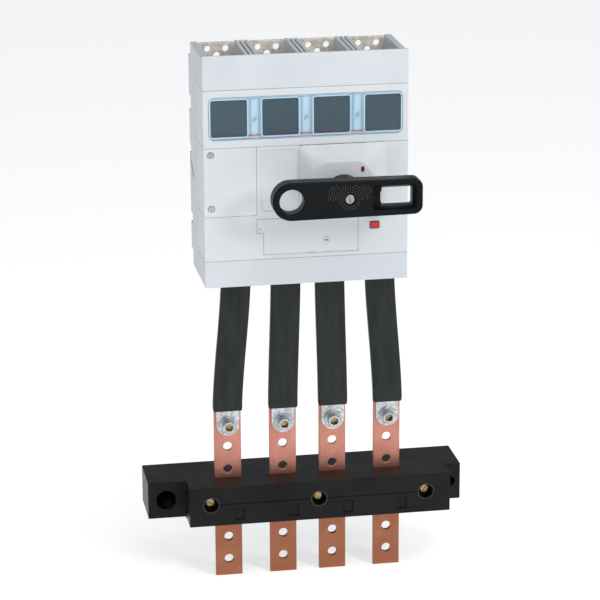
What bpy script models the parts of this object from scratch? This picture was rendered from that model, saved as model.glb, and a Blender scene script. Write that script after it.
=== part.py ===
"""Four-pole load-break switch with visible knife blades, on flexible bars, drilled
busbars and a clamped busbar support.

Sizes are in millimetres and become metres in metres(). X is to the right, Y goes into
the mounting panel and Z is up. The origin is the centre of the switch's rear face, and
the switch and the busbar support both stand on the plane Y = 0. At rest the switch is
off: the handle lies across and the blades lean forward out of their upper contacts.
"""

import math

import bmesh
import bpy
from mathutils import Matrix, Vector

# Switch body
WIDTH = 280.0
HEIGHT = 320.0
DEPTH = 140.0
POLES = 4
POLE_PITCH = 70.0
BASE_DEPTH = 78.0
SIDE_WALL = 9.5
PARTITION = 2 * SIDE_WALL
SHELL = 3.5
GAP = 0.3

HALF_WIDTH = WIDTH / 2
TOP = HEIGHT / 2
BOTTOM = -HEIGHT / 2
FRONT = -DEPTH
SPLIT = -BASE_DEPTH
CHAMBER = (POLE_PITCH - PARTITION) / 2

# Heights of the seams between the front covers
SEAM_TOP = 113.0
SEAM_WINDOW = 34.0
SEAM_SIDE = -61.0
SEAM_BOTTOM = -123.0
SIDE_COVER_EDGE = -68.0

# Drive: handle axis, blade axis and the rack between them
HANDLE_X = 45.0
HANDLE_Z = -24.0
ROTOR_Y = -50.0
ROTOR_Z = -5.0
MODULE = 1.5
PRESSURE_ANGLE = math.radians(20)
ADDENDUM = 0.8 * MODULE
DEDENDUM = 1.1 * MODULE
TOOTH_THINNING = 0.2
PINION_TEETH = 16
SECTOR_TEETH = 32
PINION_RADIUS = MODULE * PINION_TEETH / 2
SECTOR_RADIUS = MODULE * SECTOR_TEETH / 2
RACK_LINE_X = HANDLE_X - PINION_RADIUS
RACK_LINE_Y = ROTOR_Y - SECTOR_RADIUS
RACK_LEFT = 12.0
GEAR_FRONT = -85.0
GEAR_REAR = -77.0
SHAFT_RADIUS = 7.0
BAR_RADIUS = 8.0

# Knife blades and their contacts
BLADE_REACH = 95.0
BLADE_TAIL = 20.0
BLADE_WIDTH = 24.0
BLADE_THICKNESS = 6.0
OPEN_ANGLE = math.radians(45)
JAW_INNER = BLADE_THICKNESS / 2 + GAP
JAW_OUTER = JAW_INNER + 3.0

# Handle
LEVER_FRONT = -219.0
LEVER_REAR = -197.0
LEVER_LEFT = HANDLE_X - 104.0
LEVER_RIGHT = HANDLE_X + 99.0
LEVER_HALF_LEFT = 26.0
LEVER_HALF_RIGHT = 24.5
PLATEAU_Y = -165.0
PLATEAU_RADIUS = 47.0
PLATEAU_HALF_HEIGHT = 40.0

# Accessory door
DOOR_LEFT = -59.0
DOOR_RIGHT = 71.0
DOOR_TOP = -66.6
DOOR_BOTTOM = -116.6
DOOR_TAB_LEFT = -68.0
DOOR_TAB_BOTTOM = -86.0
DOOR_HINGE_Y = -138.3
DOOR_HINGE_Z = -68.3
DOOR_LOCK = (27.0, -100.0)
BUTTON = (94.0, -82.0)

# Busbars, flexible bars and support
BUS_CENTRE = 8.75
BUS_INNER = 35.5
BUS_OUTER = 114.0
BUS_HALF_WIDTH = 19.0
BUS_FRONT = -88.0
BUS_THICKNESS = 6.0
BUS_TOP = -355.0
BUS_BOTTOM = -604.0
HOLE_PITCH = 34.0
FIRST_HOLE_Z = -375.0
BUS_HOLES = 7
BOLT_HOLE_RADIUS = 6.5
FLEX_OFFSETS = (15.0, 15.0, 7.0, 8.0)
FLEX_HALF_WIDTH = 16.0
LUG_THICKNESS = 5.0
SLEEVE_HALF_WIDTH = 20.8
SLEEVE_TOP = -163.0
SLEEVE_BOTTOM = -354.0
CLAMP_LEFT = -165.5
CLAMP_RIGHT = 207.0
CLAMP_FRONT = -128.0
CLAMP_TOP = -455.0
CLAMP_BOTTOM = -512.0
CLAMP_POCKET_PITCH = 77.5
BLOCK_LEFT = -218.0
BLOCK_RIGHT = 234.0
BLOCK_TOP = -462.0
BLOCK_BOTTOM = -516.0
EAR_DEPTH = 75.0
LEFT_EAR_HOLE_X = -192.0
RIGHT_EAR_HOLE_X = 218.0
CLAMP_SCREW_X = 18.5
CLAMP_SCREW_PITCH = 153.5
CLAMP_SCREW_Z = -481.0

# Materials: colour, roughness, metallic
LIGHT_GREY = ((0.66, 0.69, 0.72, 1), 0.45, 0.0)
PALE_GREY = ((0.72, 0.74, 0.76, 1), 0.42, 0.0)
CLEAR_BLUE = ((0.42, 0.62, 0.78, 1), 0.12, 0.0)
BLACK = ((0.012, 0.013, 0.014, 1), 0.35, 0.0)
SLEEVE_BLACK = ((0.02, 0.028, 0.025, 1), 0.5, 0.0)
RED = ((0.45, 0.02, 0.03, 1), 0.4, 0.0)
COPPER = ((0.72, 0.3, 0.2, 1), 0.35, 1.0)
TINNED = ((0.6, 0.57, 0.53, 1), 0.38, 1.0)
STEEL = ((0.5, 0.5, 0.5, 1), 0.35, 1.0)
BRASS = ((0.7, 0.52, 0.22, 1), 0.3, 1.0)
SHEET_STEEL = ((0.35, 0.35, 0.34, 1), 0.45, 1.0)
BROWN_INSULATION = ((0.16, 0.07, 0.04, 1), 0.5, 0.0)


def metres(value):
    return value * 0.001


def pole_x(pole):
    return (pole - (POLES - 1) / 2) * POLE_PITCH


def bus_x(pole):
    return BUS_CENTRE + (-BUS_OUTER, -BUS_INNER, BUS_INNER, BUS_OUTER)[pole]


def lug_bolt_x(pole):
    """The upper lug of a flexible bar sits off centre on its terminal."""
    return pole_x(pole) + FLEX_OFFSETS[pole] / 2


def partition_positions():
    return [pole_x(pole) + POLE_PITCH / 2 for pole in range(POLES - 1)]


# ---------------------------------------------------------------- shape makers


def new_object(bm, name="shape"):
    """An object from a bmesh drawn in millimetres."""
    bmesh.ops.recalc_face_normals(bm, faces=bm.faces)
    bm.transform(Matrix.Scale(metres(1), 4))
    mesh = bpy.data.meshes.new(name)
    bm.to_mesh(mesh)
    bm.free()
    obj = bpy.data.objects.new(name, mesh)
    bpy.context.scene.collection.objects.link(obj)
    return obj


def loft(rings):
    """A closed solid through rings of 3-D points, with flat ends."""
    bm = bmesh.new()
    rows = [[bm.verts.new(point) for point in ring] for ring in rings]
    for lower, upper in zip(rows, rows[1:]):
        for i in range(len(lower)):
            j = (i + 1) % len(lower)
            bm.faces.new((lower[i], lower[j], upper[j], upper[i]))
    bm.faces.new(rows[0])
    bm.faces.new(rows[-1])
    return new_object(bm)


def placed(axis, a, b, along):
    """A 3-D point from two coordinates of a section and its place along the axis."""
    if axis == "X":
        return Vector((along, a, b))
    if axis == "Y":
        return Vector((a, along, b))
    return Vector((a, b, along))


def prism(axis, outline, low, high):
    """An outline of two coordinates, extruded along the axis."""
    return loft([[placed(axis, a, b, at) for a, b in outline] for at in (low, high)])


def box(x, y, z):
    outline = [(x[0], y[0]), (x[1], y[0]), (x[1], y[1]), (x[0], y[1])]
    return prism("Z", outline, z[0], z[1])


def arc(a, b, radius, start, end, steps):
    """Points on a circle from the start angle to the end angle, in degrees."""
    angles = [math.radians(start + (end - start) * i / steps) for i in range(steps + 1)]
    return [(a + radius * math.cos(t), b + radius * math.sin(t)) for t in angles]


def rod(axis, centre, radius, low, high, segments=16):
    circle = arc(centre[0], centre[1], radius, 0, 360, segments)[:-1]
    return prism(axis, circle, low, high)


def turned(axis, centre, profile, segments=20):
    """A turned solid: profile is (radius, place along the axis) from end to end."""
    rings = []
    for radius, along in profile:
        circle = arc(centre[0], centre[1], radius, 0, 360, segments)[:-1]
        rings.append([placed(axis, a, b, along) for a, b in circle])
    return loft(rings)


def rounded(a, b, radius, steps=4):
    """The outline of a rectangle with round corners."""
    low_a, high_a = a[0] + radius, a[1] - radius
    low_b, high_b = b[0] + radius, b[1] - radius
    points = arc(high_a, high_b, radius, 0, 90, steps)
    points += arc(low_a, high_b, radius, 90, 180, steps)
    points += arc(low_a, low_b, radius, 180, 270, steps)
    points += arc(high_a, low_b, radius, 270, 360, steps)
    return points


def combined(body, add=(), cut=()):
    """The body joined with some shapes, and then cut by others."""
    for operation, shapes in (("UNION", add), ("DIFFERENCE", cut)):
        for shape in shapes:
            shape.hide_render = True
            shape.display_type = "WIRE"
            modifier = body.modifiers.new(operation.lower(), "BOOLEAN")
            modifier.operation = operation
            modifier.solver = "EXACT"
            modifier.object = shape
    bpy.context.view_layer.update()
    graph = bpy.context.evaluated_depsgraph_get()
    mesh = bpy.data.meshes.new_from_object(body.evaluated_get(graph))
    body.modifiers.clear()
    plain = body.data
    body.data = mesh
    bpy.data.meshes.remove(plain)
    for shape in list(add) + list(cut):
        bpy.data.meshes.remove(shape.data)
    return body


def make_material(name, look):
    material = bpy.data.materials.new(name)
    material.use_nodes = True
    shader = material.node_tree.nodes["Principled BSDF"]
    shader.inputs["Base Color"].default_value = look[0]
    shader.inputs["Roughness"].default_value = look[1]
    shader.inputs["Metallic"].default_value = look[2]
    material.diffuse_color = look[0]
    return material


def named(obj, name, look, pivot=(0.0, 0.0, 0.0)):
    """Gives a finished piece its name, its material, its shading and its origin."""
    obj.name = name
    obj.data.name = name
    obj.data.materials.clear()
    obj.data.materials.append(make_material(name, look))
    obj.data.shade_smooth()
    obj.data.set_sharp_from_angle(angle=math.radians(35))
    origin = Vector([metres(value) for value in pivot])
    obj.data.transform(Matrix.Translation(-origin))
    obj.location = origin
    return obj


def joint_centre(name, centre):
    """An empty on a joint's axis, which carries the pieces that move about it."""
    empty = bpy.data.objects.new(name, None)
    bpy.context.scene.collection.objects.link(empty)
    empty.location = [metres(value) for value in centre]
    return empty


def carry(empty, pieces):
    for piece in pieces:
        piece.location = piece.location - empty.location
        piece.parent = empty


# ------------------------------------------------------------------ base case


def make_base_case():
    body = box((-HALF_WIDTH, HALF_WIDTH), (SPLIT, 0), (BOTTOM, TOP - 3))
    back_wall = -6.0
    posts = [rod("Y", (-HALF_WIDTH + 10, z), 5, SPLIT, back_wall + 1, 20) for z in (25, -49)]
    cuts = []
    for pole in range(POLES):
        x = (pole_x(pole) - CHAMBER, pole_x(pole) + CHAMBER)
        cuts.append(box(x, (SPLIT - 1, back_wall), (-117, 104)))
        cuts.append(box(x, (SPLIT - 1, 1), (110, TOP)))
        cuts.append(box(x, (SPLIT - 1, -58), (BOTTOM - 1, SEAM_BOTTOM)))
        cuts.append(box(x, (SPLIT - 1, -70), (SEAM_BOTTOM - 1, -116)))
        cuts.append(box(x, (-52, 1), (BOTTOM + 3, SEAM_BOTTOM)))
        slot = (pole_x(pole) - 24.5, pole_x(pole) + 24.5)
        cuts.append(box(slot, (-31.5, -24.5), (103, 111)))
    cuts += partition_slots(SPLIT - 1, 1)
    bearing = BAR_RADIUS + 0.4
    journal = (-HALF_WIDTH + 5.5, HALF_WIDTH - 5.5)
    cuts.append(box(journal, (SPLIT - 1, ROTOR_Y), (ROTOR_Z - bearing, ROTOR_Z + bearing)))
    cuts.append(rod("X", (ROTOR_Y, ROTOR_Z), bearing, journal[0], journal[1]))
    cuts += side_notches()
    cuts.append(box((-HALF_WIDTH - 1, HALF_WIDTH + 1), (-20, 1), (137, TOP)))
    cuts.append(box((-HALF_WIDTH - 1, HALF_WIDTH + 1), (-16, 1), (BOTTOM - 1, -139)))
    for x in (-POLE_PITCH, POLE_PITCH):
        for z in (90, -105):
            cuts.append(rod("Y", (x, z), 3.3, SPLIT - 1, 1, 16))
    walls = combined(body, cut=cuts)
    holes = [rod("Y", (-HALF_WIDTH + 10, z), 2.3, SPLIT - 1, -55, 16) for z in (25, -49)]
    return named(combined(walls, add=posts, cut=holes), "base_case", LIGHT_GREY)


def partition_slots(front, rear):
    """Two thin slots down into each partition, which take the phase barriers."""
    slots = []
    for middle in partition_positions():
        for side in (-3.2, 3.2):
            x = (middle + side - 1, middle + side + 1)
            slots.append(box(x, (front, rear), (TOP - 43, TOP + 1)))
    return slots


def side_notches():
    """Recesses in the rear edge of both side walls."""
    depth = 6.0
    hook = [(1, 13), (-11, 9), (-17, 2), (-17, -1), (1, -1)]
    ramp = [(-2, -3), (-36, -24), (-36, -33), (-30, -33), (-2, -12)]
    notches = []
    for side in (-1, 1):
        outer = side * (HALF_WIDTH + 1)
        inner = side * (HALF_WIDTH - depth)
        shallow = side * (HALF_WIDTH - 2.5)
        low, high = sorted((outer, inner))
        notches.append(box((low, high), (-17, 1), (60, 80)))
        notches.append(box((low, high), (-17, 1), (-101, -87)))
        notches.append(prism("X", hook, low, high))
        low, high = sorted((outer, shallow))
        notches.append(prism("X", ramp, low, high))
    return notches


# --------------------------------------------------------------- front covers


def make_upper_terminal_cover():
    """Front wall of the terminal chambers, with their side walls and partitions."""
    low = SEAM_TOP + GAP / 2
    front_wall = box((-HALF_WIDTH, HALF_WIDTH), (FRONT, FRONT + 4), (low, TOP))
    fins = []
    for middle in partition_positions():
        x = (middle - SIDE_WALL, middle + SIDE_WALL)
        fins.append(box(x, (FRONT + 2, SPLIT - GAP), (low + 2, TOP - 3)))
    for side in (-1, 1):
        x = sorted((side * HALF_WIDTH, side * (HALF_WIDTH - SIDE_WALL)))
        fins.append(box(x, (FRONT + 2, SPLIT - GAP), (low, TOP - 3)))
    slots = partition_slots(FRONT + 6, SPLIT + 1)
    body = combined(front_wall, add=fins, cut=slots)
    return named(body, "upper_terminal_cover", LIGHT_GREY)


def make_window_cover():
    low, high = SEAM_WINDOW + GAP / 2, SEAM_TOP - GAP / 2
    body = box((-HALF_WIDTH, HALF_WIDTH), (FRONT, SPLIT - GAP), (low, high))
    edges = [-HALF_WIDTH + SHELL - 1.5] + partition_positions() + [HALF_WIDTH - SHELL + 1.5]
    cuts = []
    for left, right in zip(edges, edges[1:]):
        cuts.append(box((left + 1.5, right - 1.5), (FRONT + SHELL, SPLIT + 1), (low + 3, high - 3)))
    for pole in range(POLES):
        x = (pole_x(pole) - 25, pole_x(pole) + 25)
        cuts.append(prism("Y", rounded(x, (49, 100), 3), FRONT - 1, FRONT + SHELL + 1))
        swing = (pole_x(pole) - 7, pole_x(pole) + 7)
        cuts.append(box(swing, (-112, SPLIT + 1), (low - 1, low + 4)))
    pocket = rounded((-132.3, 132.3), (44.7, 103.3), 8.3, 6)
    cuts.append(prism("Y", pocket, FRONT - 1, FRONT + 1.5))
    return named(combined(body, cut=cuts), "window_cover", PALE_GREY)


def make_window_lens():
    outline = rounded((-132, 132), (45, 103), 8, 6)
    lens = prism("Y", outline, FRONT - 0.9, FRONT + 1.2)
    return named(lens, "window_lens", CLEAR_BLUE)


def make_front_cover():
    """Large front shell, stepped round the left side cover and open at its top."""
    low, high = SEAM_BOTTOM + GAP / 2, SEAM_WINDOW - GAP / 2
    step_x, step_z = SIDE_COVER_EDGE + GAP / 2, SEAM_SIDE - GAP / 2
    outer = [(-HALF_WIDTH, low), (HALF_WIDTH, low), (HALF_WIDTH, high)]
    outer += [(step_x, high), (step_x, step_z), (-HALF_WIDTH, step_z)]
    body = prism("Y", outer, FRONT, SPLIT - GAP)
    left, right = -HALF_WIDTH + SHELL, HALF_WIDTH - SHELL
    inner = [(left, low + SHELL), (right, low + SHELL), (right, high + 1)]
    inner += [(step_x + SHELL, high + 1), (step_x + SHELL, step_z - SHELL), (left, step_z - SHELL)]
    cuts = [prism("Y", inner, FRONT + SHELL, SPLIT + 1)]
    cuts.append(box((-4, 104), (FRONT - 1, FRONT + SHELL + 1), (-56, 26)))
    panel = rounded((-62, -13), (-56, 29), 4)
    cuts.append(prism("Y", panel, FRONT - 1, FRONT + 1.2))
    cuts += door_opening()
    cuts.append(button_shape(6.15, 4.7, FRONT - 1, FRONT + SHELL + 1))
    return named(combined(body, cut=cuts), "front_cover", PALE_GREY)


def door_opening():
    """Rebate, opening and hinge holes for the accessory door."""
    rebate = (FRONT - 1, FRONT + 2.5)
    through = (FRONT - 1, FRONT + SHELL + 1)
    clear = 0.35
    top, bottom = DOOR_TOP + clear, DOOR_BOTTOM - clear
    shapes = [
        box((DOOR_LEFT - clear, DOOR_RIGHT + clear), rebate, (bottom, top)),
        box((DOOR_TAB_LEFT - clear, DOOR_LEFT), rebate, (DOOR_TAB_BOTTOM - clear, top)),
        box((DOOR_LEFT + 3, DOOR_RIGHT - 3), through, (bottom + 4, top - 1)),
        box((DOOR_TAB_LEFT - clear, DOOR_RIGHT + clear), through, (DOOR_HINGE_Z - 2.6, top)),
    ]
    hinge = (DOOR_HINGE_Y, DOOR_HINGE_Z)
    shapes.append(rod("X", hinge, 1.3, DOOR_TAB_LEFT - 3.3, DOOR_TAB_LEFT, 16))
    shapes.append(rod("X", hinge, 1.3, DOOR_RIGHT, DOOR_RIGHT + 3.3, 16))
    return shapes


def make_left_side_cover():
    x = (-HALF_WIDTH, SIDE_COVER_EDGE - GAP / 2)
    z = (SEAM_SIDE + GAP / 2, SEAM_WINDOW - GAP / 2)
    body = box(x, (FRONT, SPLIT - GAP), z)
    inside = (z[0] + SHELL, z[1] + 1)
    cuts = [box((x[0] + SHELL, x[1] - SHELL), (FRONT + SHELL, SPLIT + 1), inside)]
    for height in (25, -49):
        centre = (-HALF_WIDTH + 10, height)
        cuts.append(rod("Y", centre, 4.7, FRONT - 1, FRONT + 1.8, 24))
        cuts.append(rod("Y", centre, 2.3, FRONT - 1, FRONT + SHELL + 1, 16))
    return named(combined(body, cut=cuts), "left_side_cover", PALE_GREY)


def make_cover_screw(number, height):
    centre = (-HALF_WIDTH + 10, height)
    profile = [(4.3, FRONT - 0.4), (4.3, FRONT + 1.5), (2, FRONT + 1.5), (2, -60)]
    slot = box((centre[0] - 5, centre[0] + 5), (FRONT - 1, FRONT + 0.5), (height - 0.6, height + 0.6))
    body = combined(turned("Y", centre, profile, 16), cut=[slot])
    return named(body, f"cover_screw_{number}", STEEL)


def make_lower_terminal_cover():
    high = SEAM_BOTTOM - GAP / 2
    body = box((-HALF_WIDTH, HALF_WIDTH), (FRONT, SPLIT - GAP), (BOTTOM, high))
    edges = [-HALF_WIDTH + SHELL - 2.5] + partition_positions() + [HALF_WIDTH - SHELL + 2.5]
    cuts = []
    for left, right in zip(edges, edges[1:]):
        inside = (left + 2.5, right - 2.5)
        cuts.append(box(inside, (FRONT + 4, SPLIT + 1), (BOTTOM - 1, high - SHELL)))
    return named(combined(body, cut=cuts), "lower_terminal_cover", LIGHT_GREY)


def rectangle_point(angle, centre, x, z):
    """Where a ray from the centre leaves the rectangle."""
    dx, dz = math.cos(angle), math.sin(angle)
    reach = []
    if abs(dx) > 1e-9:
        reach.append(((x[1] if dx > 0 else x[0]) - centre[0]) / dx)
    if abs(dz) > 1e-9:
        reach.append(((z[1] if dz > 0 else z[0]) - centre[1]) / dz)
    return centre[0] + min(reach) * dx, centre[1] + min(reach) * dz


def housing_shape(x, z, base_y, rim_y, radius, top_y, top_radius, segments=40):
    """A raised housing from a rectangle up to a round plateau that is flat above and below."""
    centre = (HANDLE_X, HANDLE_Z)
    angles = [2 * math.pi * i / segments for i in range(segments)]
    corners = [math.atan2(b - centre[1], a - centre[0]) % (2 * math.pi) for a in x for b in z]
    for corner in corners:
        nearest = min(range(segments), key=lambda i: abs(angles[i] - corner))
        angles[nearest] = corner
    base = [rectangle_point(t, centre, x, z) for t in angles]
    rings = [[Vector((a, base_y, b)) for a, b in base]]
    for y, r in ((rim_y, radius), (top_y, top_radius)):
        flat = PLATEAU_HALF_HEIGHT - (PLATEAU_RADIUS - r)
        ring = []
        for t in angles:
            height = min(flat, max(-flat, r * math.sin(t)))
            ring.append(Vector((centre[0] + r * math.cos(t), y, centre[1] + height)))
        rings.append(ring)
    return loft(rings)


def flag_window():
    return HANDLE_X + 27.5, HANDLE_Z + 27.0


def make_mechanism_cover():
    base_x, base_z = (-10, 110), (-60.5, 33.5)
    base_y = FRONT - GAP
    rim_y, top_radius = PLATEAU_Y + 1.5, PLATEAU_RADIUS - 2
    body = housing_shape(base_x, base_z, base_y, rim_y, PLATEAU_RADIUS, PLATEAU_Y, top_radius)
    wall = 2.8
    inner_x = (base_x[0] + wall, base_x[1] - wall)
    inner_z = (base_z[0] + wall, base_z[1] - wall)
    inner_r = PLATEAU_RADIUS - wall
    inner_y = PLATEAU_Y + wall
    inside = housing_shape(inner_x, inner_z, base_y + 1, inner_y + 1, inner_r, inner_y, inner_r - 0.5)
    shaft_hole = rod("Y", (HANDLE_X, HANDLE_Z), SHAFT_RADIUS + 0.5, PLATEAU_Y - 1, base_y)
    x, z = flag_window()
    flag_hole = prism("Y", rounded((x - 2.4, x + 2.4), (z - 4.2, z + 4.2), 2.3), PLATEAU_Y - 1, base_y)
    return named(combined(body, cut=[inside, shaft_hole, flag_hole]), "mechanism_cover", PALE_GREY)


# ---------------------------------------------------------- door and button


def make_accessory_door():
    front, rear = FRONT, FRONT + 2.2
    section = [(front + 1, DOOR_TOP), (rear, DOOR_TOP), (rear, DOOR_BOTTOM), (front, DOOR_BOTTOM)]
    section.append((front, DOOR_TOP - 1))
    tab = [(front + 1, DOOR_TOP), (rear, DOOR_TOP), (rear, DOOR_TAB_BOTTOM), (front, DOOR_TAB_BOTTOM)]
    tab.append((front, DOOR_TOP - 1))
    hinge = (DOOR_HINGE_Y, DOOR_HINGE_Z)
    add = [
        prism("X", tab, DOOR_TAB_LEFT, DOOR_LEFT + 1),
        rod("X", hinge, 1.0, DOOR_TAB_LEFT - 3, DOOR_TAB_LEFT + 1, 12),
        rod("X", hinge, 1.0, DOOR_RIGHT - 1, DOOR_RIGHT + 3, 12),
    ]
    cut = [
        rod("Y", DOOR_LOCK, 3.1, FRONT - 1, FRONT + 4),
        rod("Y", (DOOR_TAB_LEFT + 3.6, -80.5), 0.9, FRONT - 1, FRONT + 4, 12),
        box((2.5, 9.5), (FRONT - 1, FRONT + 1), (DOOR_BOTTOM - 1, DOOR_BOTTOM + 2)),
    ]
    body = combined(prism("X", section, DOOR_LEFT, DOOR_RIGHT), add=add, cut=cut)
    pivot = (0, DOOR_HINGE_Y, DOOR_HINGE_Z)
    return named(body, "accessory_door", PALE_GREY, pivot)


def make_door_lock_screw():
    """Quarter-turn lock: its cam points sideways at rest and down when it is locked."""
    head = FRONT - 1.2
    profile = [(3.6, head), (4.2, head + 0.5), (4.2, FRONT - GAP), (2.7, FRONT - GAP), (2.7, -132)]
    cam_x = (DOOR_LOCK[0] - 2.7, DOOR_LOCK[0] + 18.5)
    cam = box(cam_x, (FRONT + 4.0, FRONT + 5.6), (DOOR_LOCK[1] - 2.6, DOOR_LOCK[1] + 2.6))
    slot = box(
        (DOOR_LOCK[0] - 5, DOOR_LOCK[0] + 5),
        (head - 1, head + 0.7),
        (DOOR_LOCK[1] - 0.6, DOOR_LOCK[1] + 0.6),
    )
    body = combined(turned("Y", DOOR_LOCK, profile, 16), add=[cam], cut=[slot])
    return named(body, "door_lock_screw", PALE_GREY, (DOOR_LOCK[0], 0, DOOR_LOCK[1]))


def button_shape(half_x, half_z, front, rear):
    x = (BUTTON[0] - half_x, BUTTON[0] + half_x)
    z = (BUTTON[1] - half_z, BUTTON[1] + half_z)
    return prism("Y", rounded(x, z, 1, 2), front, rear)


def make_trip_button():
    key = button_shape(5.85, 4.4, FRONT - 1.5, FRONT + 10)
    collar = button_shape(8, 6.5, FRONT + SHELL + GAP, FRONT + SHELL + 2.5)
    body = combined(key, add=[collar])
    return named(body, "trip_button", RED, (BUTTON[0], FRONT, BUTTON[1]))


# ---------------------------------------------------------------------- handle


def lever_outline():
    """Round at the left end, slightly slimmer and square-cornered at the right."""
    left = LEVER_LEFT + LEVER_HALF_LEFT
    corner = 12.0
    top, bottom = HANDLE_Z + LEVER_HALF_RIGHT - corner, HANDLE_Z - LEVER_HALF_RIGHT + corner
    points = arc(left, HANDLE_Z, LEVER_HALF_LEFT, 90, 270, 16)
    points += arc(LEVER_RIGHT - corner, bottom, corner, 270, 360, 5)
    points += arc(LEVER_RIGHT - corner, top, corner, 0, 90, 5)
    return points


def make_handle_lever():
    body = prism("Y", lever_outline(), LEVER_FRONT, LEVER_REAR)
    centre = (HANDLE_X, HANDLE_Z)
    hub = [(23.5, LEVER_REAR - 1), (23.5, -172), (21, -168), (21, PLATEAU_Y - 1)]
    eye = (LEVER_LEFT + LEVER_HALF_LEFT, HANDLE_Z)
    z = (HANDLE_Z - 13, HANDLE_Z + 13)
    rim = rounded((HANDLE_X + 32, HANDLE_X + 90), (HANDLE_Z - 16.5, HANDLE_Z + 16.5), 4, 3)
    floor = rounded((HANDLE_X + 34, HANDLE_X + 86), z, 2.5, 3)
    pocket = loft(
        [
            [Vector((a, LEVER_FRONT - 0.01, b)) for a, b in rim],
            [Vector((a, LEVER_FRONT + 7, b)) for a, b in floor],
        ]
    )
    window = rounded((HANDLE_X + 43, HANDLE_X + 86), z, 2.5, 3)
    channel_z = (HANDLE_Z - 6.3, HANDLE_Z + 6.3)
    cut = [
        rod("Y", eye, 16.5, LEVER_FRONT - 1, LEVER_REAR + 1, 28),
        pocket,
        prism("Y", window, LEVER_FRONT + 6, LEVER_REAR + 1),
        box((HANDLE_X + 35, HANDLE_X + 44), (LEVER_FRONT + 6, LEVER_FRONT + 10.3), (z[0] + 1, z[1] - 1)),
        box((HANDLE_X + 19.7, HANDLE_X + 44), (LEVER_FRONT + 7.4, LEVER_FRONT + 10.3), channel_z),
        rod("Y", centre, 7.0, LEVER_FRONT - 1, LEVER_FRONT + 5),
        rod("Y", centre, 3.4, LEVER_FRONT + 4, LEVER_REAR, 12),
        rod("Y", centre, SHAFT_RADIUS + 0.4, LEVER_FRONT + 8.5, PLATEAU_Y),
    ]
    body = combined(body, add=[turned("Y", centre, hub, 28)], cut=cut)
    return named(body, "handle_lever", BLACK, (HANDLE_X, 0, HANDLE_Z))


def make_padlock_slide():
    """Slide that comes out into the window of the lever, for padlocks."""
    front, rear = LEVER_FRONT + 7.7, LEVER_FRONT + 10
    head = box((HANDLE_X + 35.5, HANDLE_X + 43.5), (front, rear), (HANDLE_Z - 11.6, HANDLE_Z + 11.6))
    tail = box((HANDLE_X + 20, HANDLE_X + 36), (front, rear), (HANDLE_Z - 6, HANDLE_Z + 6))
    body = combined(head, add=[tail])
    return named(body, "padlock_slide", BLACK, (HANDLE_X + 43.5, 0, HANDLE_Z))


def make_handle_screw():
    head = LEVER_FRONT + 0.4
    profile = [(5.9, head), (6.6, head + 0.7), (6.6, LEVER_FRONT + 4.7)]
    profile += [(3, LEVER_FRONT + 4.7), (3, LEVER_FRONT + 22)]
    slot_x = (HANDLE_X - 0.9, HANDLE_X + 0.9)
    slot = box(slot_x, (head - 1, head + 1.6), (HANDLE_Z - 8, HANDLE_Z + 8))
    body = combined(turned("Y", (HANDLE_X, HANDLE_Z), profile), cut=[slot])
    return named(body, "handle_screw", STEEL, (HANDLE_X, 0, HANDLE_Z))


def make_handle_shaft():
    centre = (HANDLE_X, HANDLE_Z)
    shaft = rod("Y", centre, SHAFT_RADIUS, LEVER_FRONT + 9, GEAR_REAR + 0.5)
    thread = rod("Y", centre, 3.3, LEVER_FRONT + 8, LEVER_FRONT + 25, 12)
    return named(combined(shaft, cut=[thread]), "handle_shaft", STEEL, (HANDLE_X, 0, HANDLE_Z))


def make_position_flag():
    """Red arm on the shaft, behind the small oval window of the housing."""
    y = (PLATEAU_Y + 3.3, PLATEAU_Y + 4.5)
    x, z = flag_window()
    turn = math.degrees(math.atan2(z - HANDLE_Z, x - HANDLE_X))
    fan = arc(HANDLE_X, HANDLE_Z, 42.6, turn - 14, turn + 14, 6)
    fan.append((HANDLE_X, HANDLE_Z))
    ring = rod("Y", (HANDLE_X, HANDLE_Z), 13, y[0], y[1])
    bore = rod("Y", (HANDLE_X, HANDLE_Z), SHAFT_RADIUS + 0.3, y[0] - 1, y[1] + 1)
    body = combined(prism("Y", fan, y[0], y[1]), add=[ring], cut=[bore])
    return named(body, "position_flag", RED, (HANDLE_X, 0, HANDLE_Z))


# ----------------------------------------------------------------------- drive


def involute_offset(radius, base_radius):
    roll = math.acos(min(1.0, base_radius / radius))
    return math.tan(roll) - roll


def tooth_half_angle(radius, pitch_radius, teeth):
    """Half the angle that a tooth takes up at a radius."""
    base_radius = pitch_radius * math.cos(PRESSURE_ANGLE)
    at_pitch = math.pi / (2 * teeth) - TOOTH_THINNING / (2 * pitch_radius)
    start = involute_offset(pitch_radius, base_radius)
    return at_pitch + start - involute_offset(max(radius, base_radius), base_radius)


def gear_teeth(teeth, pitch_radius, middles):
    """Polar points (angle, radius) of the teeth whose middles are given."""
    root = pitch_radius - DEDENDUM
    base_radius = pitch_radius * math.cos(PRESSURE_ANGLE)
    tip = pitch_radius + ADDENDUM
    start = max(root, base_radius)
    radii = [root] if start > root else []
    radii += [start + (tip - start) * i / 2 for i in range(3)]
    points = []
    for middle in middles:
        for radius in radii:
            points.append((middle - tooth_half_angle(radius, pitch_radius, teeth), radius))
        for radius in reversed(radii):
            points.append((middle + tooth_half_angle(radius, pitch_radius, teeth), radius))
    return points


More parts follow.
